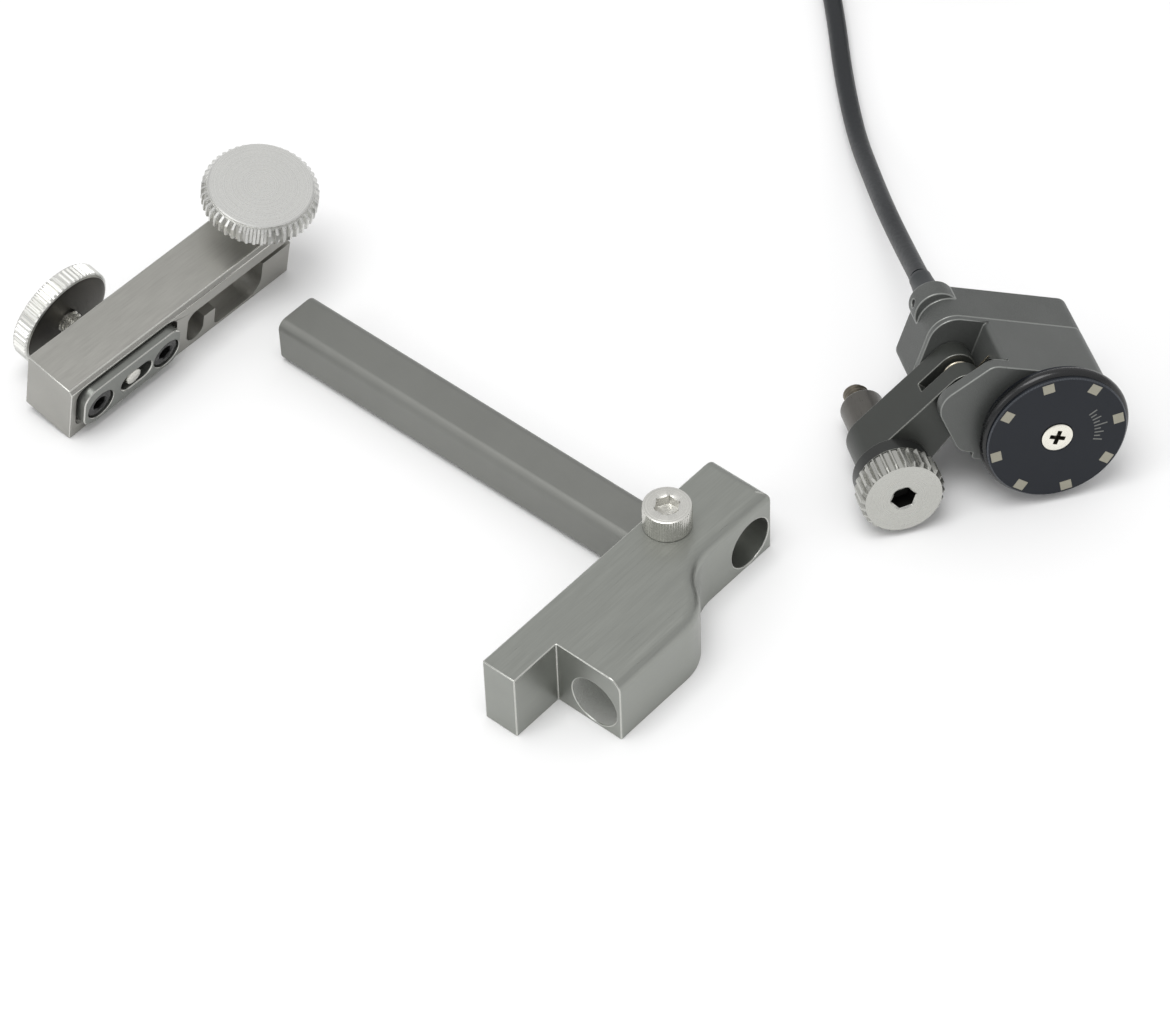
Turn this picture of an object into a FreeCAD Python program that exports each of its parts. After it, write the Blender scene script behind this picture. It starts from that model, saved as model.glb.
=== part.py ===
"""Friction-wheel pick-up kit of a timegrapher: cross bracket with bar, clamp arm and cabled sensor head.

All sizes are in millimetres.  The three loose assemblies lie on one surface at z = 0, with +Z up and the
origin at the middle of the kit's footprint.  Each assembly is drawn in a frame of its own:
  bracket  x along the block, y to the side that the bar leaves, z up
  clamp    x along the block, y up its front face, z out of its front face
  head     x to the right, y up across the wheel's face, z out of the wheel's face, which is at z = 0
"""
import FreeCAD, Part
import math
import os
from FreeCAD import Placement, Rotation, Vector

doc = FreeCAD.newDocument("pickup_kit")

# ---------------------------------------------------------------- driving dimensions
CELLS = {
    # where the three assemblies lie
    "bracket_x": -9.555, "bracket_y": -35.168, "bracket_yaw": 47.33,
    "clamp_x": -55.825, "clamp_y": 8.052, "clamp_z": 0.02, "clamp_yaw": 46.39, "clamp_roll": 11.8,
    "head_x": 53.785, "head_y": -6.578, "head_z": 9.1,
    "head_yaw": 12.14, "head_tilt": 7.76, "head_roll": 20.3,
    # cross bracket
    "cross_length": 38.1, "cross_height": 9.05, "tongue_length": 6.7, "tongue_width": 4.45,
    "near_width": 13.3, "far_width": 7.95, "bend_start": 17.5, "bend_end": 27.9,
    "rod_bore_radius": 3.1, "near_bore_across": 9.6, "near_bore_up": 3.45, "near_bore_depth": 9.0,
    "far_bore_along": 34.6, "far_bore_up": 3.45, "edge_round": 1.6,
    "bar_side": 6.1, "bar_length": 53.2, "bar_along": 27.6, "bar_round": 1.2, "screw_hole_low": 1.5,
    "cap_head_radius": 2.75, "cap_head_height": 3.0, "cap_across": 2.45, "cap_along": 27.25,
    "metric_three_radius": 1.5, "cap_shank_length": 5.6, "hex_key": 2.5,
    # clamp arm
    "clamp_length": 35.2, "clamp_height": 8.6, "clamp_width": 7.0, "clamp_edge": 0.45,
    "window_start": 23.05, "window_end": 30.65, "window_low": 0.5, "window_high": 6.2,
    "kerf_low": 5.35, "land_height": 3.8, "keyhole_start": 18.5, "keyhole_end": 21.2, "keyhole_low": 0.9,
    "recess_start": 0.8, "recess_end": 16.7, "recess_low": 1.3, "recess_high": 7.9, "recess_depth": 1.0,
    "jaw_start": 1.2, "jaw_end": 16.3, "jaw_low": 1.6, "jaw_high": 7.5, "jaw_thick": 2.0,
    "jaw_screw_first": 3.8, "jaw_screw_last": 14.15, "jaw_screw_up": 4.1, "jaw_head_radius": 1.9,
    "jaw_slot_start": 7.0, "jaw_slot_end": 11.85, "jaw_slot_width": 2.6,
    "rear_axis": 9.1, "axis_up": 4.3, "rear_knob_radius": 6.45, "rear_knob_thick": 2.5, "rear_gap": 2.85,
    "push_pin_radius": 1.15, "pin_base": 1.4, "pin_travel": 2.0,
    "top_axis": 33.0, "top_shank_radius": 1.25, "top_knob_radius": 6.75,
    "top_knob_low": 11.7, "top_knob_thick": 3.0, "top_washer_thick": 0.5, "top_washer_radius": 2.9,
    # sensor head: wheel
    "wheel_radius": 8.02, "wheel_thick": 2.4, "groove_radius": 7.0, "flange_thick": 0.45,
    "tyre_radius": 8.5, "mark_circle": 7.05, "mark_wide": 1.3, "mark_tall": 1.2, "mark_deep": 0.25,
    "mark_turn": 28.4, "wheel_screw_radius": 1.8, "axle_radius": 1.5, "axle_end": 12.3,
    # sensor head: housing, measured back from the wheel's face
    "front_face": 2.65, "pocket_front": 4.1, "pocket_back": 11.1, "seam_back": 11.8, "shell_back": 17.5,
    "house_left": -13.25, "house_right": 5.0, "house_top": 6.7, "house_low": -5.8, "house_side_low": -2.4,
    "pocket_wall": -7.6, "wall_thick": 1.0, "cheek_low": -4.95, "board_gap": 0.6,
    "bearing_radius": 4.0, "bearing_wide": 2.0, "front_bearing_back": 4.6,
    "rear_bearing_back": 8.9,
    # sensor head: arm and its knob
    "pivot_x": -10.1, "pivot_y": 1.55, "arm_reach": 12.42, "arm_turn": 245.9,
    "arm_root": 2.3, "arm_tip": 3.35,
    "arm_front": 4.75, "arm_wide": 6.2, "slot_near": 7.15, "slot_wide": 1.35, "slot_reach": 3.5,
    "pin_radius": 1.0, "post_radius": 2.5, "post_length": 5.75, "arm_knob_radius": 4.8,
    "arm_knob_front": 0.36, "arm_knob_thick": 3.3, "arm_washer_radius": 4.4, "stud_end": 18.8,
    # sensor head: lead
    "boot_x": -11.4, "boot_y": 4.7, "boot_radius": 1.9, "boot_length": 4.0,
    "boss_radius": 2.55, "boss_length": 2.5, "lead_radius": 1.15,
    "coil_radius": 12.3, "coil_wide": 14.9, "coil_tall": 4.66, "plug_radius": 3.5,
    # clearances
    "running_gap": 0.03, "seat_gap": 0.02,
}

sheet = doc.addObject("Spreadsheet::Sheet", "dims")
for row, (word, size) in enumerate(CELLS.items(), start=1):
    sheet.set(f"A{row}", word)
    sheet.set(f"B{row}", str(size))
    sheet.setAlias(f"B{row}", word)
doc.recompute()


def value(expression):
    """The number that an expression of sheet words comes to."""
    if isinstance(expression, (int, float)):
        return float(expression)
    result = sheet.evalExpression(expression)
    return float(getattr(result, "Value", result))


def bind(thing, **sizes):
    """Bind a feature's properties to expressions of sheet words."""
    for name, expression in sizes.items():
        if isinstance(expression, str):
            thing.setExpression(name, expression)
        else:
            setattr(thing, name, expression)
    return thing


def spot(x, y, z, turn=None):
    return Placement(Vector(value(x), value(y), value(z)), turn or Rotation())


# ---------------------------------------------------------------- primitives and booleans
ALONG_X = Rotation(Vector(0, 1, 0), 90)
ALONG_Y = Rotation(Vector(1, 0, 0), -90)
counter = 0


def new(kind, name):
    global counter
    counter += 1
    return doc.addObject(kind, f"{name}_{counter}")


def box(long, wide, tall, x=0, y=0, z=0):
    block = bind(new("Part::Box", "box"), Length=long, Width=wide, Height=tall)
    block.Placement = spot(x, y, z)
    return block


def rod(radius, tall, x=0, y=0, z=0, turn=None):
    """A cylinder that starts at x, y, z and runs along z, or along the turned z."""
    cylinder = bind(new("Part::Cylinder", "rod"), Radius=radius, Height=tall)
    cylinder.Placement = spot(x, y, z, turn)
    return cylinder


def taper(low, high, tall, x=0, y=0, z=0, turn=None):
    cone = bind(new("Part::Cone", "taper"), Radius1=low, Radius2=high, Height=tall)
    cone.Placement = spot(x, y, z, turn)
    return cone


def cut(base, *tools):
    tool = tools[0] if len(tools) == 1 else join(*tools)
    result = new("Part::Cut", "cut")
    result.Base, result.Tool = base, tool
    return result


def join(*shapes):
    result = new("Part::MultiFuse", "join")
    result.Shapes = list(shapes)
    return result


def group(*shapes):
    """Separate solids that stay separate in one node."""
    result = new("Part::Compound", "group")
    result.Links = list(shapes)
    return result


def chamfered(base, size, keep):
    """Break the edges of a solid that the test keep(edge) picks."""
    doc.recompute()
    result = new("Part::Chamfer", "chamfered")
    result.Base = base
    picks = [i for i, edge in enumerate(base.Shape.Edges, start=1) if keep(edge)]
    result.Edges = [(i, value(size), value(size)) for i in picks]
    return result


def knob(radius, thick, edge, bore, x=0, y=0, z=0, turn=None):
    """A knurled knob's outer shape: a disc with both rims broken and a bore through it."""
    disc = join(
        taper(f"{radius} - {edge}", radius, edge),
        rod(radius, f"{thick} - 2 * {edge}", z=edge),
        taper(radius, f"{radius} - {edge}", edge, z=f"{thick} - {edge}"),
    )
    hollow = cut(disc, rod(bore, thick))
    hollow.Placement = spot(x, y, z, turn)
    return hollow


# ---------------------------------------------------------------- sketched bodies
def rounded(points):
    """Lines and arcs of a closed outline, from corners given as (x, y, radius)."""
    corners = [(Vector(value(x), value(y), 0), value(r)) for x, y, r in points]
    count = len(corners)
    arcs = []
    for i, (corner, radius) in enumerate(corners):
        before = (corners[i - 1][0] - corner).normalize()
        after = (corners[(i + 1) % count][0] - corner).normalize()
        if radius < 1e-6:
            arcs.append((corner, corner, corner))
            continue
        half = before.getAngle(after) / 2
        reach = radius / math.tan(half)
        middle = corner + (before + after).normalize() * (radius / math.sin(half) - radius)
        arcs.append((corner + before * reach, middle, corner + after * reach))
    geometry = []
    for i, (start, middle, end) in enumerate(arcs):
        if start != end:
            geometry.append(Part.Arc(start, middle, end))
        following = arcs[(i + 1) % count][0]
        if (following - end).Length > 1e-6:
            geometry.append(Part.LineSegment(end, following))
    return geometry


class Drawn:
    """A PartDesign body that is padded, pocketed and filleted from sketches on its own base plane."""

    def __init__(self, name):
        self.body = doc.addObject("PartDesign::Body", name)
        self.name = name
        self.steps = 0
        planes = self.body.Origin.OriginFeatures
        self.plane = next(item for item in planes if item.Role == "XY_Plane")

    def sketch(self, geometry, height):
        self.steps += 1
        drawing = self.body.newObject("Sketcher::SketchObject", f"{self.name}_sketch{self.steps}")
        drawing.AttachmentSupport = [(self.plane, "")]
        drawing.MapMode = "FlatFace"
        drawing.AttachmentOffset = spot(0, 0, height)
        drawing.addGeometry(geometry, False)
        return drawing

    def volume(self):
        doc.recompute()
        return self.body.Shape.Volume if not self.body.Shape.isNull() else 0.0

    def pad(self, geometry, length, height=0):
        before = self.volume()
        feature = self.body.newObject("PartDesign::Pad", f"{self.name}_pad{self.steps}")
        feature.Profile = self.sketch(geometry, height)
        bind(feature, Length=length)
        self.check(before, 1)
        return self

    def pocket(self, geometry, length, height=0):
        """Remove material from the given height upwards."""
        before = self.volume()
        feature = self.body.newObject("PartDesign::Pocket", f"{self.name}_pocket{self.steps}")
        feature.Profile = self.sketch(geometry, height)
        feature.Reversed = True
        bind(feature, Length=length)
        self.check(before, -1)
        return self

    def fillet(self, radius, keep):
        doc.recompute()
        tip = self.body.Tip
        names = [f"Edge{i}" for i, edge in enumerate(tip.Shape.Edges, start=1) if keep(edge)]
        feature = self.body.newObject("PartDesign::Fillet", f"{self.name}_fillet{self.steps}")
        feature.Base = (tip, names)
        bind(feature, Radius=radius)
        doc.recompute()
        return self

    def check(self, before, sign):
        after = self.volume()
        if (after - before) * sign <= 0:
            raise ValueError(f"{self.name}: step {self.steps} changed nothing")


def circle(x, y, radius):
    return [Part.Circle(Vector(value(x), value(y), 0), Vector(0, 0, 1), value(radius))]


def slot(x_start, x_end, y_middle, width):
    half = value(width) / 2
    low, high = value(y_middle) - half, value(y_middle) + half
    bend = half - 1e-4
    return rounded([(x_start, low, bend), (x_end, low, bend), (x_end, high, bend), (x_start, high, bend)])


# ---------------------------------------------------------------- the kit's frames and its list of parts
BRACKET = spot("dims.bracket_x", "dims.bracket_y", 0, Rotation(Vector(0, 0, 1), CELLS["bracket_yaw"]))
CLAMP = spot("dims.clamp_x", "dims.clamp_y", "dims.clamp_z",
             Rotation(Vector(0, 0, 1), CELLS["clamp_yaw"])
             * Rotation(Vector(1, 0, 0), 90 + CELLS["clamp_roll"]))
HEAD = spot("dims.head_x", "dims.head_y", "dims.head_z",
            Rotation(Vector(0, 0, 1), CELLS["head_yaw"])
            * Rotation(Vector(1, 0, 0), 90 - CELLS["head_tilt"])
            * Rotation(Vector(0, 0, 1), -CELLS["head_roll"]))
KIT = Placement()
parts = []


def keep(label, thing, frame):
    """Give a sub-part its name and put it in its place in the kit."""
    if isinstance(thing, Drawn):
        thing = thing.body
    thing.Label = label
    thing.Placement = frame.multiply(thing.Placement)
    parts.append(thing)


# ---------------------------------------------------------------- cross bracket
def s_bend():
    """The front edge's two tangent arcs, from the wide near section to the narrow far section."""
    start = Vector(value("dims.bend_start"), -value("dims.near_width"), 0)
    end = Vector(value("dims.bend_end"), -value("dims.far_width"), 0)
    run, rise = end.x - start.x, end.y - start.y
    radius = (run ** 2 + rise ** 2) / (4 * rise)
    middle = (start + end) * 0.5
    half = math.asin(run / 2 / radius) / 2
    first = Vector(start.x + radius * math.sin(half), start.y + radius * (1 - math.cos(half)), 0)
    last = Vector(end.x - radius * math.sin(half), end.y - radius * (1 - math.cos(half)), 0)
    return start, first, middle, last, end


def cross_block():
    start, first, middle, last, end = s_bend()
    corners = [
        end,
        Vector(value("dims.cross_length"), end.y, 0),
        Vector(value("dims.cross_length"), 0, 0),
        Vector(0, 0, 0),
        Vector(0, -value("dims.tongue_width"), 0),
        Vector(value("dims.tongue_length"), -value("dims.tongue_width"), 0),
        Vector(value("dims.tongue_length"), start.y, 0),
        start,
    ]
    outline = [Part.LineSegment(a, b) for a, b in zip(corners, corners[1:])]
    outline += [Part.Arc(start, first, middle), Part.Arc(middle, last, end)]
    block = Drawn("cross_block_body").pad(outline, "dims.cross_height")

    def is_top_front(edge):
        box_ = edge.BoundBox
        high = abs(box_.ZMin - value("dims.cross_height")) < 0.01 and box_.ZLength < 0.01
        near_front = box_.YLength < 0.01 and abs(box_.YMin - start.y) < 0.01
        far_end = box_.XLength < 0.01 and abs(box_.XMin - value("dims.cross_length")) < 0.01
        return high and (near_front or far_end)

    block.fillet("dims.edge_round", is_top_front)
    near_bore = rod("dims.rod_bore_radius", "dims.near_bore_depth + 1", "dims.tongue_length - 1",
                    "-dims.near_bore_across", "dims.near_bore_up", ALONG_X)
    far_bore = rod("dims.rod_bore_radius", "dims.far_width + 2", "dims.far_bore_along",
                   "-dims.far_width - 1", "dims.far_bore_up", ALONG_Y)
    screw_hole = rod("dims.metric_three_radius", "dims.cross_height", "dims.cap_along",
                     "-dims.cap_across", "dims.screw_hole_low")
    bar_seat = box("dims.bar_side", "dims.cap_across + 1.6", "dims.bar_side",
                   "dims.bar_along - dims.bar_side / 2",
                   "-dims.cap_across - 1.6", 0)
    return cut(block.body, near_bore, far_bore, bar_seat, screw_hole)


def square_bar():
    half = "dims.bar_side / 2"
    low, high = f"dims.bar_along - {half}", f"dims.bar_along + {half}"
    bend = "dims.bar_round"
    seat = "dims.cap_across + 1.6"
    bar = Drawn("square_bar_body")
    # the bar's section is drawn flat and stands up along its length
    bar.pad(rounded([(low, 0, bend), (high, 0, bend), (high, "dims.bar_side", bend),
                     (low, "dims.bar_side", bend)]),
            f"dims.bar_length + {seat}")
    bar.body.Placement = spot(0, "dims.bar_length", 0, Rotation(Vector(1, 0, 0), 90))
    thread = rod("dims.metric_three_radius", "dims.cap_shank_length", "dims.cap_along", "-dims.cap_across",
                 "dims.cross_height - dims.cap_shank_length")
    return cut(bar.body, thread)


def cap_screw():
    across, along, top = "-dims.cap_across", "dims.cap_along", "dims.cross_height"
    head = rod("dims.cap_head_radius", "dims.cap_head_height", along, across, top)
    shank = rod("dims.metric_three_radius - dims.seat_gap", "dims.cap_shank_length", along, across,
                f"{top} - dims.cap_shank_length + 0.3")
    key = new("Part::Prism", "key")
    bind(key, Polygon=6, Circumradius="dims.hex_key / 2 / cos(30)", Height="dims.cap_head_height")
    key.Placement = spot(along, across, f"{top} + 1.3")
    return cut(join(head, shank), key)


def build_bracket():
    keep("cross_block", cross_block(), BRACKET)
    keep("square_bar", square_bar(), BRACKET)
    keep("bar_screw", cap_screw(), BRACKET)


# ---------------------------------------------------------------- clamp arm
def clamp_body():
    back = "-dims.clamp_width"
    body = Drawn("clamp_body_body")
    body.pad(rounded([(0, 0, 0), ("dims.clamp_length", 0, 0), ("dims.clamp_length", "dims.clamp_height", 0),
                      (0, "dims.clamp_height", 0)]), "dims.clamp_width", back)
    window = rounded([
        ("dims.window_start", "dims.window_low", 0.8), ("dims.window_end", "dims.window_low", 2.2),
        ("dims.window_end", "dims.kerf_low", 0.1), ("dims.clamp_length + 1", "dims.kerf_low", 0),
        ("dims.clamp_length + 1", "dims.window_high", 0), ("dims.keyhole_start", "dims.window_high", 1.3),
        ("dims.keyhole_start", "dims.keyhole_low", 1.34), ("dims.keyhole_end", "dims.keyhole_low", 1.34),
        ("dims.keyhole_end", "dims.land_height", 0.1), ("dims.window_start", "dims.land_height", 0.2),
    ])
    body.pocket(window, "dims.clamp_width", back)
    recess = rounded([("dims.recess_start", "dims.recess_low", 1.5),
                      ("dims.recess_end", "dims.recess_low", 1.5),
                      ("dims.recess_end", "dims.recess_high", 1.5),
                      ("dims.recess_start", "dims.recess_high", 1.5)])
    body.pocket(recess, "dims.recess_depth", "-dims.recess_depth")

    def is_top_front(edge):
        box_ = edge.BoundBox
        at_top = abs(box_.YMin - value("dims.clamp_height")) < 0.01
        return box_.XLength > 30 and at_top and abs(box_.ZMax) < 0.01

    rear_hole = rod("dims.metric_three_radius", "dims.clamp_width + 2", "dims.rear_axis", "dims.axis_up",
                    "-dims.clamp_width - 1")
    top_hole = rod("dims.top_shank_radius + dims.running_gap", "dims.clamp_height - 0.6", "dims.top_axis",
                   0.7,
                   "-dims.clamp_width / 2", ALONG_Y)
    jaw_holes = [rod("1.25", "4.0", along, "dims.jaw_screw_up", "-dims.recess_depth - 4.0")
                 for along in ("dims.jaw_screw_first", "dims.jaw_screw_last")]
    return cut(chamfered(body.body, "dims.clamp_edge", is_top_front), rear_hole, top_hole, *jaw_holes)


def jaw_plate():
    low = "-dims.recess_depth"
    plate = Drawn("jaw_plate_body")
    plate.pad(rounded([("dims.jaw_start", "dims.jaw_low", 1.7), ("dims.jaw_end", "dims.jaw_low", 1.7),
                       ("dims.jaw_end", "dims.jaw_high", 1.7), ("dims.jaw_start", "dims.jaw_high", 1.7)]),
              "dims.jaw_thick", low)
    plate.pocket(slot("dims.jaw_slot_start", "dims.jaw_slot_end", "dims.axis_up", "dims.jaw_slot_width"),
                 "dims.jaw_thick", low)
    for along in ("dims.jaw_screw_first", "dims.jaw_screw_last"):
        plate.pocket(circle(along, "dims.jaw_screw_up", 1.3), "dims.jaw_thick", low)
        plate.pocket(circle(along, "dims.jaw_screw_up", "dims.jaw_head_radius + 0.1"), 1.4,
                     "dims.jaw_thick - dims.recess_depth - 1.4")
    return plate


def jaw_screws():
    top = "dims.jaw_thick - dims.recess_depth"
    screws = []
    for along in ("dims.jaw_screw_first", "dims.jaw_screw_last"):
        head = rod("dims.jaw_head_radius", "1.2", along, "dims.jaw_screw_up", f"{top} - 1.4")
        shank = rod("1.25 - dims.seat_gap", "4.2", along, "dims.jaw_screw_up", f"{top} - 5.4")
        socket = rod("0.85", "0.9", along, "dims.jaw_screw_up", f"{top} - 1.0")
        screws.append(cut(join(head, shank), socket))
    return group(*screws)


def build_clamp():
    rear = "-dims.clamp_width - dims.rear_gap"
    tip = "dims.jaw_thick - dims.recess_depth"
    keep("clamp_body", clamp_body(), CLAMP)
    keep("jaw_plate", jaw_plate(), CLAMP)
    keep("jaw_screws", jaw_screws(), CLAMP)
    # rear thumbscrew: knob, stud and the swivel pin in the stud's tip
    keep("rear_knob", knob("dims.rear_knob_radius", "dims.rear_knob_thick", "0.5",
                           "dims.metric_three_radius - 0.05",
                           "dims.rear_axis", "dims.axis_up", f"{rear} - dims.rear_knob_thick"), CLAMP)
    stud_end = "dims.pin_travel + dims.pin_base"
    stud = rod("dims.metric_three_radius - 0.05",
               f"dims.rear_knob_thick + dims.rear_gap + dims.clamp_width - ({stud_end})",
               "dims.rear_axis", "dims.axis_up", f"{rear} - dims.rear_knob_thick")
    tail_hole = rod("0.75", "2.0", "dims.rear_axis", "dims.axis_up", f"-({stud_end}) - 1.7")
    keep("rear_stud", cut(stud, tail_hole), CLAMP)
    pin = join(rod("dims.push_pin_radius", f"{tip} + {stud_end} - 0.05", "dims.rear_axis", "dims.axis_up",
                   f"0.05 - ({stud_end})"),
               rod("0.75 - dims.running_gap", "1.4", "dims.rear_axis", "dims.axis_up",
                   f"0.05 - ({stud_end}) - 1.3"))
    keep("push_pin", pin, CLAMP)
    # top thumbscrew: knob with its hub, stud and the captive washer under the hub
    middle = "-dims.clamp_width / 2"
    washer_top = "dims.clamp_height + dims.top_washer_thick + 0.05"
    knob_disc = knob("dims.top_knob_radius", "dims.top_knob_thick", "0.6", "dims.top_shank_radius",
                     "dims.top_axis", "dims.top_knob_low", middle, ALONG_Y)
    hub = cut(rod("2.6", f"dims.top_knob_low - ({washer_top})", "dims.top_axis", washer_top, middle, ALONG_Y),
              rod("dims.top_shank_radius", "dims.top_knob_low", "dims.top_axis", 0, middle, ALONG_Y))
    cap = rod("dims.top_knob_radius - 0.6", "0.4", "dims.top_axis",
              "dims.top_knob_low + dims.top_knob_thick - 0.4",
              middle, ALONG_Y)
    keep("top_knob", join(knob_disc, hub, cap), CLAMP)
    keep("top_stud", rod("dims.top_shank_radius", "dims.top_knob_low + dims.top_knob_thick - 0.4 - 1.2",
                         "dims.top_axis", 1.2, middle, ALONG_Y), CLAMP)
    washer = cut(rod("dims.top_washer_radius", "dims.top_washer_thick", "dims.top_axis",
                     "dims.clamp_height + 0.02", middle, ALONG_Y),
                 rod("dims.top_shank_radius + dims.running_gap", "2 * dims.top_washer_thick", "dims.top_axis",
                     "dims.clamp_height - 0.2", middle, ALONG_Y))
    keep("top_washer", washer, CLAMP)


# ---------------------------------------------------------------- sensor head: wheel
def wheel_disc():
    flange, radius = "dims.flange_thick", "dims.wheel_radius"
    disc = join(rod(radius, flange, z=f"-{flange}"),
                rod("dims.groove_radius", "dims.wheel_thick", z="-dims.wheel_thick"),
                rod(radius, flange, z="-dims.wheel_thick"))
    screw_room = join(taper("0.9", "dims.wheel_screw_radius", "0.9", z="-0.9"),
                      rod("0.9", "dims.wheel_thick", z="-dims.wheel_thick"))
    return cut(disc, screw_room, group(*mark_blocks("0")))


def mark_blocks(proud):
    """The eight marks near the rim of the wheel's face, as one block for each."""
    blocks = []
    for step in range(8):
        turn = Rotation(Vector(0, 0, 1), 45 * step + CELLS["mark_turn"])
        block = box("dims.mark_tall", "dims.mark_wide", f"dims.mark_deep + {proud}")
        corner = Vector(value("dims.mark_circle - dims.mark_tall / 2"), -value("dims.mark_wide / 2"),
                        -value("dims.mark_deep"))
        block.Placement = Placement(turn.multVec(corner), turn)
        blocks.append(block)
    return blocks


def tyre():
    ring = new("Part::Torus", "tyre")
    section = "(dims.tyre_radius - dims.groove_radius) / 2"
    bind(ring, Radius1=f"dims.groove_radius + {section}", Radius2=section)
    ring.Placement = spot(0, 0, "-dims.wheel_thick / 2")
    return ring


def wheel_screw():
    head = taper("0.9", "dims.wheel_screw_radius", "0.9", z="-0.9")
    shank = rod("0.9 - dims.seat_gap", "4.5", z="-5.3")
    arms = [box("1.7", "0.42", "0.6", "-0.85", "-0.21", "-0.6"),
            box("0.42", "1.7", "0.6", "-0.21", "-0.85", "-0.6")]
    return cut(join(head, shank), *arms)


def axle():
    back = "-dims.axle_end"
    shaft = join(rod("dims.axle_radius", "dims.axle_end - dims.wheel_thick", z=back),
                 rod("2.1", "0.2", z="-dims.wheel_thick - 0.2"))
    return cut(shaft, rod("0.9", "3.5", z="-5.6"))


def ring(outer, inner, tall, z):
    return cut(rod(outer, tall, z=z), rod(inner, tall, z=z))


def build_wheel():
    keep("wheel_disc", wheel_disc(), HEAD)
    keep("index_marks", group(*mark_blocks("0.01")), HEAD)
    keep("wheel_tyre", tyre(), HEAD)
    keep("wheel_screw", wheel_screw(), HEAD)
    keep("wheel_axle", axle(), HEAD)
    keep("axle_clip", ring("2.2", "dims.axle_radius", "0.5",
                           "-dims.rear_bearing_back - dims.bearing_wide - 0.6"), HEAD)
    keep("encoder_magnet", rod("2.0", "1.6", z="-dims.axle_end - 1.6"), HEAD)


# ---------------------------------------------------------------- sensor head: housing
def house_outline(inset=0.0):
    left, right = value("dims.house_left") + inset, value("dims.house_right") - inset
    top, low = value("dims.house_top") - inset, value("dims.house_low") + inset
    side_low = value("dims.house_side_low")
    soft = 1.5 - inset
    return rounded([(left, top, soft + 1.5), (left, side_low, soft), (left + 2.75, low, soft),
                    (right, low, soft), (right, top, soft)])


SCREW_SPOTS = [("3.4", "5.0"), ("3.4", "-4.1"), ("-4.3", "-4.1")]
STANDOFFS = [("-4.9", "0.4"), ("2.7", "0.4")]


def rear_shell():
    depth = "dims.shell_back - dims.seam_back"
    shell = Drawn("rear_shell_body")
    shell.pad(house_outline(), depth, "-dims.shell_back")
    shell.pocket(house_outline(value("dims.wall_thick")), f"{depth} - dims.wall_thick",
                 "-dims.shell_back + dims.wall_thick")
    bosses = [rod("1.6", f"{depth}", x, y, "-dims.shell_back") for x, y in SCREW_SPOTS]
    bosses += [rod("0.9", "dims.wall_thick + dims.board_gap", x, y, "-dims.shell_back") for x, y in STANDOFFS]
    bosses.append(rod("dims.boss_radius", "dims.boss_length", "dims.boot_x", "dims.boot_y",
                      "-dims.shell_back"))
    holes = [rod("0.85", f"{depth} + 1", x, y, "-dims.shell_back - 0.5") for x, y in SCREW_SPOTS]
    seats = [rod("1.45", "0.9", x, y, "-dims.shell_back - 0.1") for x, y in SCREW_SPOTS]
    lead_hole = rod("dims.lead_radius", "2 * dims.wall_thick", "dims.boot_x", "dims.boot_y",
                    "-dims.shell_back - 0.5 * dims.wall_thick")
    grub_hole = rod("0.45", "1.4", "dims.boot_x - dims.boss_radius - 0.1", "dims.boot_y",
                    "-dims.shell_back + 1.2", ALONG_X)
    return cut(join(shell.body, *bosses), *holes, *seats, lead_hole, grub_hole)


def front_body():
    back = "-dims.seam_back"
    body = Drawn("front_body_body")
    body.pad(house_outline(), "dims.seam_back - dims.pocket_back", back)
    wall, top, low, right = "dims.pocket_wall", "dims.house_top", "dims.house_low", "dims.house_right"
    body.pad(rounded([(wall, top, 0.6), (wall, low, 0.6), (right, low, 1.5), (right, top, 1.5)]),
             "dims.pocket_back - dims.front_face", "-dims.pocket_back")
    cheek = rounded([("dims.pivot_x + 0.9", top, 1.6), ("dims.pivot_x - 4.1", "dims.pivot_y - 0.85", 2.6),
                     ("dims.pivot_x + 0.8", "dims.cheek_low", 2.2), (right, "dims.cheek_low", 0.6),
                     (right, top, 1.5)])
    body.pad(cheek, "dims.pocket_front - dims.front_face", "-dims.pocket_front")
    bore = rod("dims.bearing_radius", "dims.pocket_back", z=back)
    mouth = rod("2.6", "dims.seam_back", z=back)
    pin_hole = rod("dims.pin_radius", "dims.seam_back - dims.front_face - 0.8", "dims.pivot_x",
                   "dims.pivot_y", back)
    holes = [rod("0.8", "3.0", x, y, back) for x, y in SCREW_SPOTS]
    shoulder = ring("dims.bearing_radius", "2.6", "dims.front_bearing_back - dims.front_face",
                    "-dims.front_bearing_back")
    return cut(join(cut(body.body, bore, pin_hole, *holes), shoulder), mouth)


def housing_screws():
    screws = []
    for x, y in SCREW_SPOTS:
        head = rod("1.4", "0.7", x, y, "-dims.shell_back + 0.1")
        shank = rod("0.8 - dims.seat_gap", "7.6", x, y, "-dims.shell_back + 0.8")
        socket = rod("0.6", "0.5", x, y, "-dims.shell_back + 0.1")
        screws.append(cut(join(head, shank), socket))
    return group(*screws)


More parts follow.
